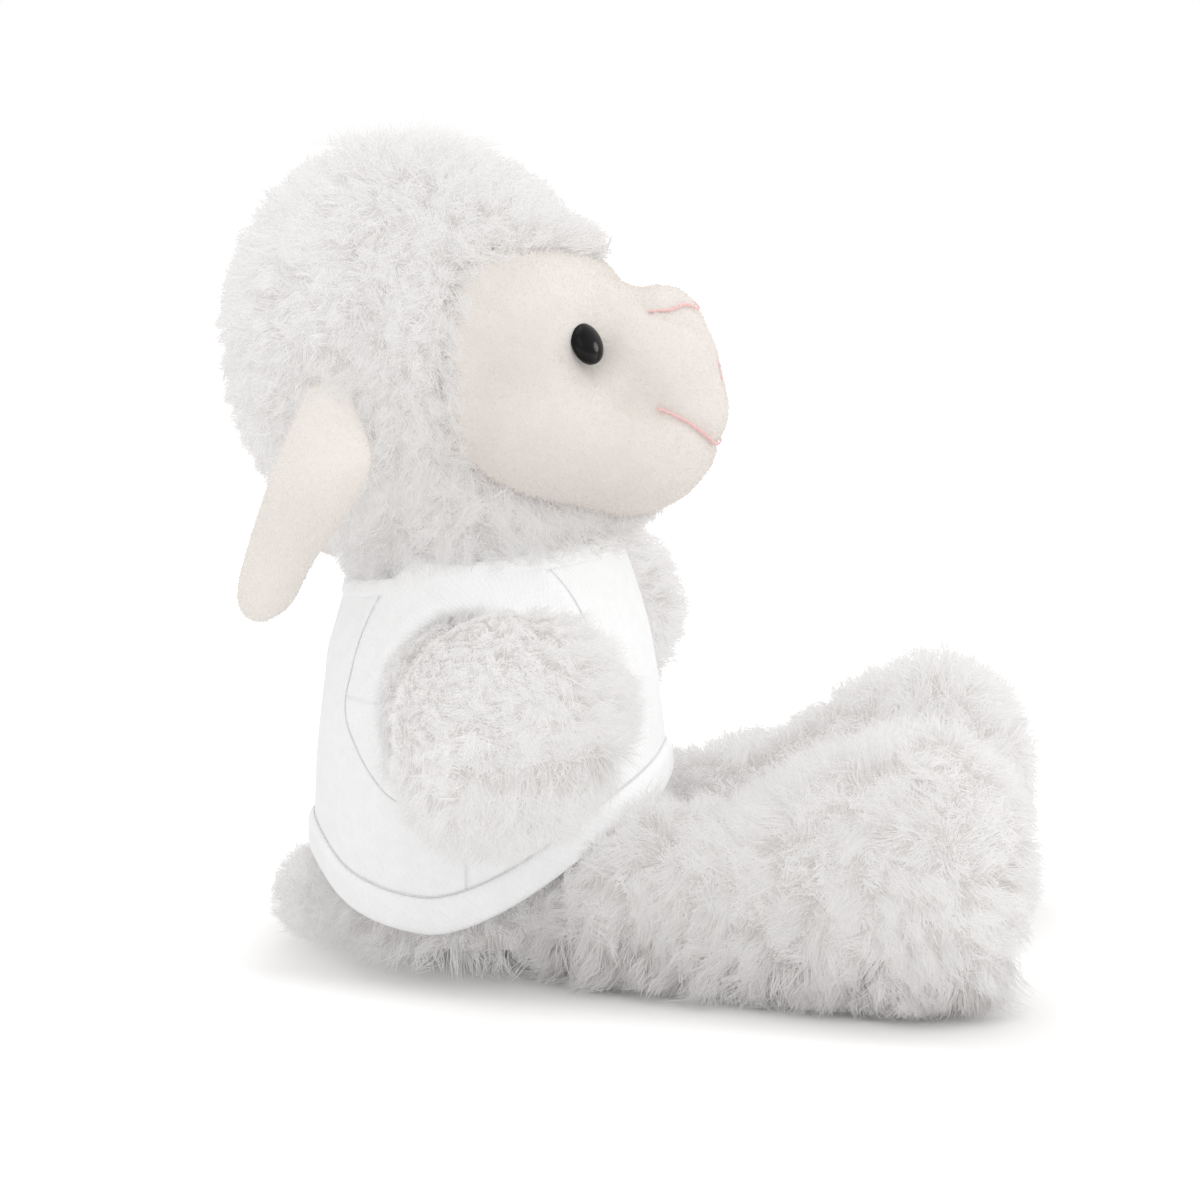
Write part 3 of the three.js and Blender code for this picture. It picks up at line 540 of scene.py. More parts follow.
# The face nap's darker root colour is painted shade as well
NAP = pile_material("velour_nap", (0.77, 0.72, 0.675), (0.84, 0.8, 0.765), (0.94, 0.935, 0.93))
KNIT = knit_material("jersey")
THREAD = fabric_material("pink_thread", (0.92, 0.6, 0.585), (0.86, 0.53, 0.515), 700, 3500, 0.0003, 0.3)
# The tee's thread is a little greyer than its jersey: painted shade that marks the seams as dark lines
SHADED_THREAD = fabric_material("tee_thread_shaded", (0.85, 0.85, 0.855), (0.76, 0.76, 0.765), 600, 3500, 0.0002, 0.1)
EYE = plastic_material("eye_gloss", (0.006, 0.005, 0.005), 0.12, 0.12, 300)
WASHER = plastic_material("washer", (0.7, 0.7, 0.7), 0.45, 0.4, 300)


# Torso, limbs and tail: a skin a little under the pile, and the pile on it

def upright(z, y):
    """Centres of level sections, one above the other."""
    return np.stack([np.zeros_like(z), np.full_like(z, y), z], -1)


def torso_size(z):
    return through(TORSO_WIDE, z), through(TORSO_DEEP, z)


def torso_section(z):
    return upright(z, TORSO_Y), *torso_size(z)


def leg_section(side):
    def at(s):
        centre = np.stack([side * through(LEG_OUT, s), TORSO_Y - s, through(LEG_UP, s)], -1)
        return centre, through(LEG_WIDE, s), through(LEG_HIGH, s)
    return at


def arm_way(side):
    return unit(np.array([side * math.cos(ARM_FORWARD), -math.sin(ARM_FORWARD), math.tan(ARM_LIFT[side])]))


def shoulder(side):
    return SHOULDER * np.array([side, 1, 1])


def arm_section(side):
    def at(s):
        r = through(ARM_RADIUS, s) + through(ARM_PLUMP, s)
        set_back = fade(s, 0, ARM_SET_FULL)[:, None] * ARM_SET
        return shoulder(side) + s[:, None] * arm_way(side) + set_back, r, r
    return at


def tail_section(s):
    r = np.full_like(s, TAIL_RADIUS)
    return TAIL + s[:, None] * Y_WAY, r, r


def turn_of(p):
    """Angle of points round the body, from its front."""
    wide, deep = torso_size(p[:, 2])
    return np.arctan2(p[:, 0] / wide, -(p[:, 1] - TORSO_Y) / deep)


def mirrored(turn):
    """Angle from the front, the same to both sides."""
    return np.abs((turn + math.pi) % (2 * math.pi) - math.pi)


def hem_height(turn):
    """Height of the hem round the body, lowest a little behind the side."""
    angle = mirrored(turn)
    ahead = np.cos(angle - HEM_BEHIND * np.sin(angle))
    front, back = np.maximum(0, ahead) ** HEM_CURVE, np.maximum(0, -ahead) ** HEM_CURVE
    return HEM_SIDE + (HEM_FRONT - HEM_SIDE) * front + (HEM_BACK - HEM_SIDE) * back


def neck_height(turn):
    """Height of the neckband's upper edge, where the leaning plane of the neck cuts the body."""
    z = np.full(np.shape(turn), NECK_Z)
    for _ in range(8):
        z = NECK_Z + math.tan(NECK_LEAN) * through(TORSO_DEEP, z) * np.cos(turn)
    return z - 1 + COLLAR_LIFT * (1 - np.maximum(0, np.cos(turn)))


def off_body(p):
    """How far a point stands out from the body, about."""
    wide, deep = torso_size(p[:, 2])
    return (np.hypot(p[:, 0] / wide, (p[:, 1] - TORSO_Y) / deep) - 1) * BODY_ROUND


def beyond_torso(p, out):
    """True outside the body's outline, widened by a distance."""
    wide, deep = torso_size(p[:, 2])
    return (p[:, 0] / (wide + out)) ** 2 + ((p[:, 1] - TORSO_Y) / (deep + out)) ** 2 > 1


def thigh_top(p):
    """Greatest height of a thigh as it comes out from under the hem and rises away from it."""
    return hem_height(turn_of(p)) + THIGH_RISE * np.maximum(off_body(p) - 1, 0)


def flatten(form, low):
    """Keeps a skin above the floor."""
    form[0][:, 2] = np.maximum(form[0][:, 2], low)


def shape_leg(leg):
    """The thigh comes out from under the hem, and the upper edge of the sole leans back."""
    verts = leg[0]
    verts[:, 2] = np.minimum(verts[:, 2], np.maximum(thigh_top(verts) - 1, 2))
    verts[:, 1] += SOLE_LEAN * fade(verts[:, 1], -60, -90) * np.maximum(verts[:, 2] - SOLE_BEND, 0) ** 2


def sagging(amount):
    """Fur that hangs a little: the pull of its weight along the skin."""
    def lay(p, normal):
        return amount * along_skin(np.tile(-UP, (len(p), 1)), normal)
    return lay


def below_hem(p, normal, rng):
    """Body fur from a little above the hem down to the seat."""
    return (p[:, 2] < hem_height(turn_of(p)) + 5) & (normal[:, 2] > -0.8)


def by_hem(p):
    """1 where the thigh comes out from under the hem, falling to 0 away from it."""
    return fade(thigh_top(p) - p[:, 2], 14, 0) * fade(off_body(p), 18, 8)


def off_torso(p, normal, rng):
    """Leg fur outside the tee, and a little way in below the hem."""
    below = p[:, 2] < hem_height(turn_of(p)) - LEG_TUCK
    return beyond_torso(p, -LEG_TUCK) & (beyond_torso(p, LEG_TUCK) | below)


def low_outside(p, normal, rng):
    """Leg fur near the floor, without what the leg lies on."""
    return off_torso(p, normal, rng) & (p[:, 2] < FRINGE_TOP) & (normal[:, 2] > -0.9)


def leg_draw(p):
    """Even on top of the leg, locks toward the floor."""
    return 0.5 + 0.38 * fade(p[:, 2], 48, 20)


def leg_length(p):
    """Longer where the fur hangs to the floor, shorter on the sole and by the hem."""
    hang, sole = fade(p[:, 2], 22, 6), fade(p[:, 1], -72, -86)
    return (10.5 + 5 * hang - 2.5 * sole) * (1 - 0.65 * by_hem(p))


def leg_lay(p, normal):
    """Hangs, more so near the floor, and lies away from the hem."""
    away = unit((p - TORSO_Y * Y_WAY) * (X_WAY + Y_WAY))
    hanging = sagging(0.35)(p, normal) * (1 + 2.5 * fade(p[:, 2], 26, 10))[:, None]
    return hanging + 0.7 * by_hem(p)[:, None] * away


def out_of_hole(p, normal, rng):
    """Arm fur outside the tee, and a little way into the armhole."""
    return off_body(p) > -ARM_TUCK


def off_paw_seam(p):
    """Distance from the closing seam across the end of an arm."""
    past = np.maximum(np.abs(p[:, 1] - PAW_SEAM["y"]) - PAW_SEAM["half"], 0)
    return np.hypot(past, p[:, 2] - PAW_SEAM["z"]) + np.maximum(PAW_SEAM["out"] - np.abs(p[:, 0]), 0)


def side_of(p):
    return int(np.sign(p[0, 0]))


def by_sleeve(p):
    """1 on the upper back flank of an arm, where the sleeve's edge lies on it, falling to 0 at its end."""
    way = arm_way(side_of(p))
    off = p - shoulder(side_of(p))
    along = off @ way
    rear = unit(off - along[:, None] * way) @ unit(Y_WAY + UP)
    return fade(rear, 0.1, 0.6) * fade(along, 46, 32) * (0.6 + 0.4 * fade(along, -4, 4))


def arm_lay(p, normal):
    """Hangs a little, parts along the closing seam, and lies away from the sleeve's edge."""
    parting = np.sign(p[:, 2] - PAW_SEAM["z"]) * bell(off_paw_seam(p), PAW_SEAM["fade"])
    away = by_sleeve(p)[:, None] * arm_way(side_of(p))
    return sagging(0.3)(p, normal) + 1.1 * parting[:, None] * UP + 1.3 * away


def arm_length(p):
    """Short along the closing seam across the end of the arm, and by the sleeve's edge."""
    return (9.5 - 6.5 * bell(off_paw_seam(p), 2.6)) * (1 - 0.6 * by_sleeve(p))


def arm_draw(p):
    """Tufts that stop short of the closing seam."""
    return 0.75 * (1 - bell(off_paw_seam(p), PAW_SEAM["fade"]))


torso = loft(*TORSO_SPAN, torso_section, X_WAY, Y_WAY, TORSO_INSET)
flatten(torso, SEAT_LOW)
mesh_object("torso_plush", *torso, BACKING)
pile("torso_pile", torso, WOOL, 11, count=40000, long=10, keep=below_hem, comb=sagging(0.5), clump=18,
     draw=0.75, floor=FUR_LOW)

for word, side in SIDES:
    leg = loft(*LEG_SPAN, leg_section(side), X_WAY, UP, LIMB_INSET)
    flatten(leg, LEG_LOW)
    shape_leg(leg)
    mesh_object(f"leg_{word}_plush", *leg, BACKING)
    pile(f"leg_{word}_pile", leg, WOOL, 20 + side, count=41500, long=leg_length, keep=off_torso,
         comb=leg_lay, stray=0.45, clump=26, draw=leg_draw, wave=0.16, floor=FUR_LOW, swirl=0.75)
    pile(f"leg_{word}_fringe", leg, WOOL, 80 + side, count=30000, long=15, wide=0.34, keep=low_outside,
         comb=leg_lay, stray=0.6, clump=22, draw=0.8, wave=0.1, floor=FUR_LOW, swirl=0.5, shades=True)

    across = unit(np.cross(UP, arm_way(side)))
    arm = loft(*ARM_SPAN, arm_section(side), across, np.cross(arm_way(side), across), LIMB_INSET)
    mesh_object(f"arm_{word}_plush", *arm, BACKING)
    pile(f"arm_{word}_pile", arm, WOOL, 30 + side, count=40000, long=arm_length, keep=out_of_hole,
         comb=arm_lay, stray=0.45, clump=24, draw=arm_draw, wave=0.16, swirl=0.5)

tail = loft(*TAIL_SPAN, tail_section, X_WAY, UP, TAIL_INSET)
flatten(tail, SEAT_LOW)
mesh_object("tail_plush", *tail, BACKING)
pile("tail_pile", tail, WOOL, 41, count=14000, long=9, comb=sagging(0.3), stray=0.6, clump=22, draw=0.75,
     floor=FUR_LOW)


# Head: one skin round its lobes, for the face and for the backing under the wool

def head_reach(direction):
    """How far the smooth skin round the lobes reaches from the middle of the face, in each direction."""
    total = np.zeros(len(direction))
    for ahead, above, wide, deep, high in LOBES:
        size = np.array([wide, deep, high])
        o = (FACE_MIDDLE - np.array([0, HEAD[1] - ahead, HEAD[2] + above])) / size
        d = direction / size
        dd = (d * d).sum(1)
        along = (d @ o) / dd
        left = along ** 2 - (o @ o - 1) / dd
        reach = np.where(left > 0, np.sqrt(np.maximum(left, 0)) - along, 0)
        total += np.maximum(reach, 0) ** LOBE_BLEND
    return total ** (1 / LOBE_BLEND)


def head_skin(sides, rings):
    """Closed skin of the head, with its poles at the front and the back."""
    fall = np.linspace(0, math.pi, rings + 2)[1:-1]
    f, a = np.meshgrid(fall, round_turn(sides), indexing="ij")
    way = np.stack([np.sin(f) * np.cos(a), -np.cos(f), np.sin(f) * np.sin(a)], -1).reshape(-1, 3)
    way = np.concatenate([way, [-Y_WAY, Y_WAY]])
    return closed(FACE_MIDDLE + way * head_reach(way)[:, None], rings, sides)


def head_level(p):
    """Below 1 inside the head's skin, above 1 outside it."""
    ray = p - FACE_MIDDLE
    length = np.linalg.norm(ray, axis=1)
    return length / head_reach(ray / length[:, None])


def on_face(x, up, lift=0):
    """Points of the face at sideways places and heights above the head's centre, and the way out there."""
    x, z = np.asarray(x, float), HEAD[2] + np.asarray(up, float)
    ahead, behind = np.full(x.shape, -60.0), np.full(x.shape, FACE_MIDDLE[1])
    for _ in range(40):
        y = (ahead + behind) / 2
        outside = head_level(np.stack([x, y, z], -1)) > 1
        ahead, behind = np.where(outside, y, ahead), np.where(outside, behind, y)
    point = np.stack([x, y, z], -1)
    steps = np.eye(3) * 0.4
    out = unit(np.stack([head_level(point + step) - head_level(point - step) for step in steps], -1))
    return point + out * lift, out


def eye_seat(side):
    return on_face([side * EYE_OUT], [EYE_UP])[0][0]


def line_points(line, side, count, lift=0):
    """A line of the face as points on it, with the way out of the face there."""
    x, up = np.array(line, float).T
    along = np.linspace(0, 1, len(x))
    at = np.linspace(0, 1, count)
    return on_face(side * through(np.stack([along, x], 1), at), through(np.stack([along, up], 1), at), lift)


def press(verts, points, depth, width):
    """Pushes the skin in along a line of points."""
    near = np.full(len(verts), 1e9)
    for p in points:
        near = np.minimum(near, ((verts - p) ** 2).sum(1))
    inward = unit(FACE_MIDDLE - verts)
    return verts + inward * (depth * np.exp(-near / width ** 2))[:, None]


def wool_share(p):
    """Above 1 where the wool grows: over the brow, behind the cheeks and under the jaw."""
    back = np.maximum(p[:, 1], 0) / OPENING["deep"]
    rise = p[:, 2] - OPENING["z"]
    drop = OPENING["drop"] - OPENING["slope"] * np.clip(p[:, 1], 0, OPENING["deep"])
    above = np.maximum(rise, 0) / (OPENING["high"] + OPENING["spread"] * np.abs(p[:, 0]))
    below = np.maximum(-rise, 0) / drop
    return np.sqrt(back ** 4 + above ** 4 + below ** 4)


def under_wool(p, normal, rng):
    """Wool above the neck, thinning out toward the face."""
    low = p[:, 2] < NECK_Z - math.tan(NECK_LEAN) * (p[:, 1] - TORSO_Y)
    return ~low & (rng.random(len(p)) < fade(wool_share(p), 0.91, 0.99))


def wool_lay(p, normal):
    """Wool hangs a little, and at its edge it leans over the face."""
    to_face = unit(along_skin(FACE_FRONT - p, normal))
    edge = fade(wool_share(p), 1.15, 0.95)[:, None]
    return sagging(0.45)(p, normal) * (1 - edge) + 0.8 * edge * to_face


def curl_draw(p):
    """Even fleece on the crown, tufts below it."""
    return 0.55 + 0.4 * fade(p[:, 2], 176, 160)


def curl_length(p):
    """Longer at the nape and the back of the crown, short under the jaw and at the edge of the face."""
    y, z = p[:, 1], p[:, 2]
    nape, crown = fade(z, 118, 98), fade(y, 55, 70) * fade(z, 150, 165)
    jaw, edge = fade(y, 20, 5) * fade(z, 122, 112), fade(wool_share(p), 1.11, 0.91)
    return (8.8 + 2 * nape + 1.5 * crown - 4 * jaw) * (1 - 0.65 * edge)


def off_eyes(p, normal, rng):
    return np.min([np.linalg.norm(p - eye_seat(side), axis=1) for word, side in SIDES], axis=0) > EYE_CLEAR


def neck_section(z):
    r = np.full_like(z, NECK_RADIUS)
    return upright(z, NECK_Y), r, r


def above_collar(p, normal, rng):
    """Neck fur above the neckband, without what lies under the head."""
    return (np.hypot(p[:, 0], p[:, 1] - TORSO_Y) > 20) & (p[:, 2] > neck_height(turn_of(p)) - 1)


head_verts, head_faces = head_skin(168, 120)
for word, side in SIDES:
    head_verts = press(head_verts, [eye_seat(side)], *EYE_PRESS)
    for line, count, depth, width in LINE_PRESSES:
        head_verts = press(head_verts, line_points(line, side, count)[0], depth, width)
head_verts = press(head_verts, line_points(CENTRE_LINE, 1, 30)[0], *CENTRE_PRESS)

face_share = wool_share(np.array([head_verts[f].mean(0) for f in head_faces]))
choices = (face_share < VELOUR_END, face_share >= BACKING_START, face_share >= CURL_START)
velour, backing, curls = (part_of(head_verts, [f for f, kept in zip(head_faces, choice) if kept])
                          for choice in choices)
thicken(mesh_object("face_panel", *velour, VELOUR), VELOUR_THICK, -1)
thicken(mesh_object("head_wool", *backing, BACKING), BACKING_THICK, -1)
for seed, name in ((51, "head_curls"), (53, "head_curls_more")):
    pile(name, curls, WOOL, seed, count=43000, long=curl_length, keep=under_wool, comb=wool_lay,
         draw=curl_draw, swirl=0.4)
pile("face_nap", velour, NAP, 52, count=38000, keep=off_eyes, comb=sagging(0.5), stray=0.9, **SHORT_NAP)

neck = loft(*NECK_SPAN, neck_section, X_WAY, Y_WAY)
mesh_object("neck_fur", *neck, BACKING)
pile("neck_pile", neck, WOOL, 61, count=30000, long=7.5, keep=above_collar, comb=sagging(0.2), clump=18)


# Ears: a cupped leaf of velour with its nap

def ear_form(side):
    root = EAR_ROOT * np.array([side, 1, 1])

    def at(s):
        out, back = through(EAR_OUT, s), through(EAR_BACK, s)
        centre = np.stack([root[0] + side * out, root[1] + back, root[2] - s], -1)
        return centre, through(EAR_WIDE, s), through(EAR_THICK, s)

    verts, faces = loft(*EAR_SPAN, at, Y_WAY, X_WAY, sides=40, rings=40)
    drop = root[2] - verts[:, 2]
    across = (verts[:, 1] - root[1] - through(EAR_BACK, drop)) / np.maximum(through(EAR_WIDE, drop), 1)
    verts[:, 0] -= side * (EAR_CUP * fade(drop, 0, 14) * (across ** 2 - 0.25))
    return verts, faces


for word, side in SIDES:
    ear = ear_form(side)
    mesh_object(f"ear_{word}", *ear, LIT_EAR_VELOUR)
    pile(f"ear_{word}_nap", ear, LIT_EAR_NAP, 70 + side, count=14000, comb=sagging(0.8), stray=0.6, **SHORT_NAP)


# Eyes: domed button with a rim and its stem

def way_at(turn, rise):
    """Direction at an angle round from the front and an angle up."""
    return (math.sin(turn) * math.cos(rise), -math.cos(turn) * math.cos(rise), math.sin(rise))


rises = np.linspace(0, math.pi / 2, 14)[:-1]
dome = [(EYE_RADIUS * math.cos(a), EYE_RIM + EYE_DOME * math.sin(a)) for a in rises]
button = EYE_STEM + dome + [(0.25, EYE_RIM + EYE_DOME)]
for word, side in SIDES:
    axis = np.array(way_at(side * EYE_TURN, EYE_TILT))
    mesh_object(f"eye_{word}", *lathe(button, eye_seat(side) - EYE_SINK * axis, axis), EYE)


# Embroidery and tee stitches: short plump stitches that overlap along a line

def stitches(name, points, outs, material, pitch, long, radius, sides=8):
    """Stitches along points. Each has rings at shares of its length, thickest in the middle."""
    steps = np.linalg.norm(np.diff(points, axis=0), axis=1)
    run = np.concatenate([[0], np.cumsum(steps)])
    count = max(int(run[-1] / pitch), 1)
    verts, faces = [], []
    shape = [(0.0, 0.35), (0.12, 0.75), (0.35, 1.0), (0.65, 1.0), (0.88, 0.75), (1.0, 0.35)]

    def at(rows, place):
        return np.array([np.interp(place, run, rows[:, k]) for k in range(3)])

    for i in range(count):
        centre = (i + 0.5) / count * run[-1]
        ends = [at(points, np.clip(centre + d, 0, run[-1])) for d in (-long / 2, long / 2)]
        out = unit(at(outs, centre))
        way = unit(ends[1] - ends[0])
        side = np.cross(way, out)
        first = len(verts)
        for share, fat in shape:
            lift = out * radius * (0.2 + 0.5 * math.sin(math.pi * share))
            middle = ends[0] + (ends[1] - ends[0]) * share + lift
            for a in round_turn(sides):
                verts.append(middle + radius * fat * (math.cos(a) * side + 0.75 * math.sin(a) * out))
        faces += ring_faces(len(shape), sides, first)
        last = first + (len(shape) - 1) * sides
        faces.append(list(range(first + sides - 1, first - 1, -1)))
        faces.append(list(range(last, last + sides)))
    verts = np.array(verts)
    mesh_object(name, verts, outward(verts, faces), material)


for word, side in SIDES:
    for label, line in (("nose", NOSE_LINE), ("mouth", MOUTH_LINE)):
        points, outs = line_points(line, side, 60, -THREAD_SINK)
        stitches(f"{label}_stitch_{word}", points, outs, THREAD, **FACE_STITCH)
# The centre line lies deep between nose and mouth, and less so halfway
points, outs = line_points(CENTRE_LINE, 1, 60, -CENTRE_SINK)
points = points + outs * bell(points[:, 2:] - HEAD[2] + 6.5, 5)
stitches("centre_stitch", points, outs, THREAD, **FACE_STITCH)


# Tee: jersey panels over the body, with bands, seams and folds

def fold_out(turn, z):
    """How far the cloth stands out: flutes at the hem, slack behind, and the pull folds."""
    share = fade(z, hem_height(turn), neck_height(turn))
    out = 1.2 * (0.5 - 0.5 * np.cos(7 * turn)) * (1 - share) ** 2 + 0.6 * np.maximum(0, -np.cos(turn))
    p = np.stack([mirrored(turn) * BODY_ROUND, z], -1)
    for (t0, z0), (t1, z1), width, depth in FOLDS:
        a, b = np.array([t0 * BODY_ROUND, z0]), np.array([t1 * BODY_ROUND, z1])
        along = np.clip(((p - a) @ (b - a)) / ((b - a) @ (b - a)), 0, 1)
        off = np.linalg.norm(p - (a + along[..., None] * (b - a)), axis=-1)
        out = out + depth * bell(off, width) * np.sin(math.pi * np.clip(along, 0.04, 0.96)) ** 0.7
    return out


def tee_point(turn, z, out):
    """Points of the cloth at angles round the body, heights and distances out from it."""
    wide, deep = torso_size(z)
    total = out + fold_out(turn, z)
    return np.stack([(wide + total) * np.sin(turn), TORSO_Y - (deep + total) * np.cos(turn), z], -1)


def hole_share(turn, z, extra):
    """Below 1 inside the armhole, widened all round by extra, on the cloth laid flat."""
    along = (mirrored(turn) - math.pi / 2) * BODY_ROUND / (ARM_HOLE["along"] + extra)
    return np.hypot(along, (z - SHOULDER[2]) / (ARM_HOLE["up"] + extra))


def panel(name, a, b, across=150, up=80):
    """Half of the tee between two angles, from hem to neck, without its armholes."""
    turn, share = np.meshgrid(np.linspace(a, b, across + 1), np.linspace(0, 1, up + 1), indexing="ij")
    turn, share = turn.ravel(), share.ravel()
    low, high = hem_height(turn) + HEM_WIDTH - HEM_LAP, neck_height(turn) - NECKBAND_WIDTH + NECK_LAP
    z = low + (high - low) * share
    i, j = np.meshgrid(np.arange(across), np.arange(up), indexing="ij")
    first = (i * (up + 1) + j).ravel()
    quads = np.stack([first, first + up + 1, first + up + 2, first + 1], 1)
    quads = quads[(hole_share(turn, z, HOLE_CLEAR)[quads] > 1).all(1)]
    used = np.unique(quads)
    obj = mesh_object(name, *part_of(tee_point(turn, z, CLOTH_OUT), quads.tolist()), KNIT)
    give_uv(obj, "cloth", np.stack([turn[used] * CLOTH_ROUND, z[used]], 1))
    thicken(obj, CLOTH_THICK, 0)


def band(name, place, steps, section, length):
    """Folded strip of cloth sewn into a ring: place(t, w, o) at angles, across the strip and outward."""
    t = round_turn(steps)
    verts = np.stack([place(t, w, o) for w, o in section], 1).reshape(-1, 3)
    n = len(section)
    faces = (np.array(ring_faces(steps + 1, n)) % len(verts)).tolist()
    obj = mesh_object(name, verts, outward(verts, faces), KNIT)
    run = np.repeat(t * length / (2 * math.pi), n)
    give_uv(obj, "cloth", np.stack([run, np.tile(np.array([w for w, o in section]), steps)], 1))


def folded(width, thick, sink, roll=0):
    """Section of a folded strip: plump outside, flat inside, with roll thicker toward its free edge."""
    share = np.linspace(0, 1, 21)
    plump = np.sqrt(np.maximum(0, 1 - (2 * share - 1) ** 4))
    plump *= 1 - roll * (1 - bell(share - 0.18, 0.2))
    outer = [(width * u, sink + thick * p) for u, p in zip(share, plump)]
    inner = [(width * u, sink - 0.2) for u in share[::-1]]
    return outer + inner


def hem_place(t, w, o):
    return tee_point(t, hem_height(t) + w, o)


def neck_place(t, w, o):
    return tee_point(t, neck_height(t) - NECKBAND_WIDTH + w, o)


def sleeve_place(side):
    """Band round an armhole, narrower under the arm, with a squarer seam over the shoulder."""
    def at(t, w, o):
        narrow = w * (1 + 0.6 * np.minimum(np.sin(t), 0))
        square = 1 - 0.4 * w / SLEEVE_BAND_WIDTH * (np.sin(t) > 0)
        run = (ARM_HOLE["along"] + narrow) * np.sign(np.cos(t)) * np.abs(np.cos(t)) ** square
        turn = side * (math.pi / 2 + run / BODY_ROUND)
        z = SHOULDER[2] + (ARM_HOLE["up"] + narrow) * np.sin(t)
        top = ARM_HOLE["top"] - 0.1 * (SLEEVE_BAND_WIDTH - w)
        return tee_point(turn, np.minimum(z, top), o)
    return at


def seam(name, place, width, radius):
    """Row of stitches round a band, just past its edge."""
    t = np.linspace(0, 2 * math.pi, 241)
    points = place(t, width + SEAM_PAST, SEAM_OUT)
    outs = unit(place(t, width + SEAM_PAST, SEAM_OUT + 1) - points)
    stitches(name, points, outs, SHADED_THREAD, radius=radius, **TEE_STITCH)


panel("tee_front", -math.pi / 2 + SIDE_GAP, math.pi / 2 - SIDE_GAP)
panel("tee_back", math.pi / 2 + SIDE_GAP, 3 * math.pi / 2 - SIDE_GAP)
band("tee_hem_band", hem_place, 240, folded(HEM_WIDTH, 1.9, 1.2), 270)
band("tee_neckband", neck_place, 200, folded(NECKBAND_WIDTH, 1.4, 0.9), 215)
for word, side in SIDES:
    band(f"tee_sleeve_band_{word}", sleeve_place(side), 200, folded(SLEEVE_BAND_WIDTH, 2.6, 1.3, 0.65), 165)
seam("tee_hem_seam", hem_place, HEM_WIDTH, 0.2)
for word, side in SIDES:
    seam(f"tee_sleeve_seam_{word}", sleeve_place(side), SLEEVE_BAND_WIDTH, 0.16)


# Pieces to bodies

def settle(name, body, stands_for=()):
    """Puts a piece on its body, and hides the solids that it stands for."""
    obj = pieces[name]
    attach(obj, body)
    if stands_for:
        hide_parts(*stands_for)


settle("torso_plush", "torso", ("torso_plush", "torso_stuffing", "pellet_bag"))
settle("torso_pile", "torso")
settle("tail_plush", "tail", ("tail_plush",))
settle("tail_pile", "tail")
settle("neck_fur", "neck", ("neck_stuffing",))
settle("neck_pile", "neck")
settle("face_panel", "head", ("face_panel", "head_stuffing"))
settle("face_nap", "head")
pieces["face_nap"].visible_shadow = False
settle("head_wool", "head", ("head_wool",))
settle("head_curls", "head")
settle("head_curls_more", "head")
settle("centre_stitch", "head", ("centre_stitch",))
for word, side in SIDES:
    arm, leg, ear = f"arm_{word}", f"leg_{word}", f"ear_{word}"
    settle(f"{arm}_plush", arm, (f"{arm}_plush", f"{arm}_stuffing"))
    settle(f"{arm}_pile", arm)
    for suffix in ("plush", "pile", "fringe"):
        obj = pieces[f"{leg}_{suffix}"]
        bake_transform(obj)
    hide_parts(f"{leg}_plush", f"{leg}_stuffing")
    settle(ear, ear, (ear,))
    settle(f"{ear}_nap", ear)
    pieces[f"{ear}_nap"].visible_shadow = False
    for kind, body, slot in (("eye", "head", "eye_black"), ("nose_stitch", "head", "pink_thread"),
                             ("mouth_stitch", "head", "pink_thread"),
                             ("tee_sleeve_band", "torso", "tee_knit")):
        settle(f"{kind}_{word}", body, (f"{kind}_{word}",))
    settle(f"tee_sleeve_seam_{word}", "torso")
    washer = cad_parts[f"eye_washer_{word}"].data.materials
    washer.clear()
    washer.append(WASHER)
for name in ("tee_front", "tee_back", "tee_hem_band", "tee_neckband"):
    settle(name, "torso", (name,))
settle("tee_hem_seam", "torso")


# Stage: floor, light and camera

def white_behind(tree):
    """1 for what the camera, reflections and clear materials see, which is plain white."""
    path = tree.nodes.new("ShaderNodeLightPath").outputs
    seen = path["Is Camera Ray"]
    for other in ("Is Glossy Ray", "Is Transmission Ray"):
        seen = math_node(tree, "MAXIMUM", seen, path[other])
    return seen


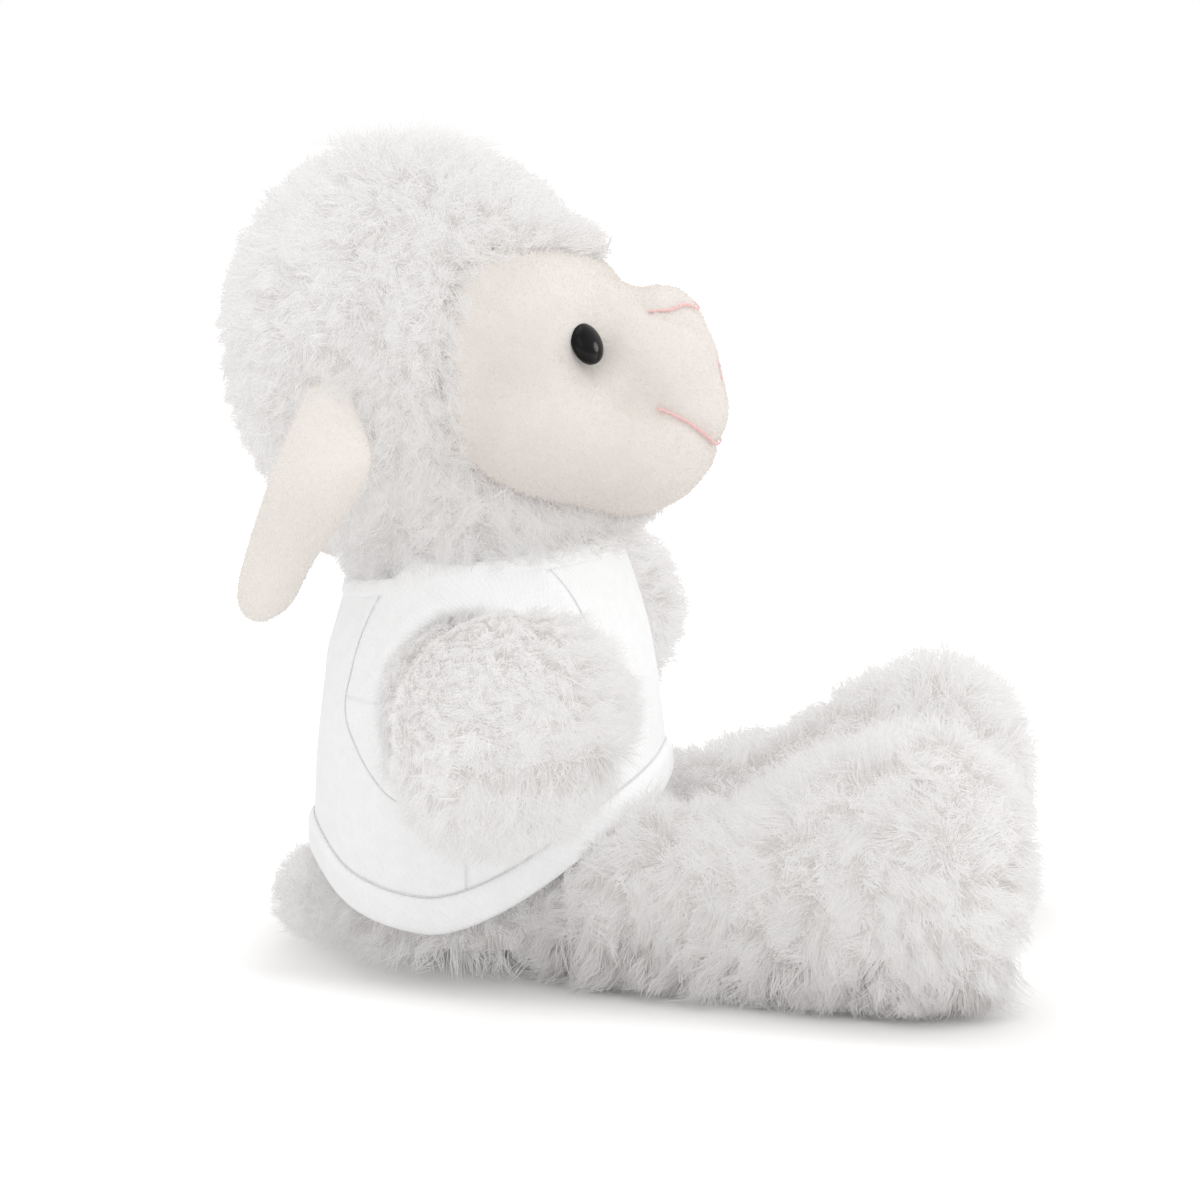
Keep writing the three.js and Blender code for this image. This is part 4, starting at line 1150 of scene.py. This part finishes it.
def off_footprint(tree):
    """Distance on the floor from the toy's footprint, as a share of the distance over which the floor's
    painted light rises to full and washes out the toy's shadow.
    """
    place = node(tree, "ShaderNodeSeparateXYZ", Vector=object_place(tree)).outputs
    edge = math_node(tree, "MULTIPLY_ADD", place["Y"], -FOOTPRINT["spread"], FOOTPRINT["half"])
    beside = math_node(tree, "SUBTRACT", math_node(tree, "ABSOLUTE", place["X"]), edge)
    along = math_node(tree, "ABSOLUTE", math_node(tree, "SUBTRACT", place["Y"], FOOTPRINT["middle"]))
    past = math_node(tree, "SUBTRACT", along, FOOTPRINT["length"])
    squares = []
    for off in (beside, past):
        outside = math_node(tree, "MAXIMUM", off, 0)
        squares.append(math_node(tree, "MULTIPLY", outside, outside))
    far = math_node(tree, "SQRT", math_node(tree, "ADD", *squares))
    return math_node(tree, "DIVIDE", far, FOOTPRINT["fade"])


def point_along(obj, place, way):
    """Puts a light or a camera in its place and turns it along a direction."""
    obj.location = place
    obj.rotation_euler = way.to_track_quat("-Z", "Y").to_euler()


world = bpy.data.worlds.new("studio")
world.use_nodes = True
bpy.context.scene.world = world
sky = world.node_tree
sky.nodes.clear()
light, white = (node(sky, "ShaderNodeBackground", Color=(1, 1, 1, 1), Strength=s) for s in (SKY_LIGHT, 1))
both = mix_shaders(sky, white_behind(sky), light.outputs["Background"], white.outputs["Background"])
node(sky, "ShaderNodeOutputWorld", Surface=both)

floor_material, tree, bsdf = new_material("pale_floor")
# Painted light: the floor glows for the camera and reflections, faintly near the toy and fully far from it,
# washing the toy's shadow out
painted_light = ramp(tree, off_footprint(tree), greys(FLOOR_PAINTED_LIGHT), "EASE")
dress(tree, bsdf, Base_Color=(0.93, 0.925, 0.92, 1), Roughness=0.9, Specular_IOR_Level=0.1,
      Emission_Color=(1, 1, 1, 1), Emission_Strength=math_node(tree, "MULTIPLY", painted_light, white_behind(tree)))
corners = [(x * FLOOR_HALF, y * FLOOR_HALF, -FLOOR_DROP) for x, y in ((-1, -1), (1, -1), (1, 1), (-1, 1))]
floor = mesh_object("floor", corners, [[0, 1, 2, 3]], floor_material)

for name, place, size, power in LIGHTS:
    lamp = bpy.data.lights.new(name, "AREA")
    lamp.shape = "DISK"
    lamp.size = size
    lamp.energy = power
    point_along(add_object(name, lamp), place, LIGHT_TARGET - Vector(place))

view = bpy.data.cameras.new("camera")
view.lens = CAMERA_LENS
view.sensor_width = CAMERA_SENSOR
view.dof.use_dof = False
camera = add_object("camera", view)
away = Vector(way_at(CAMERA_TURN, CAMERA_RISE))
point_along(camera, CAMERA_TARGET + away, -away)
bpy.context.scene.camera = camera
bpy.context.scene.view_settings.view_transform = "Standard"
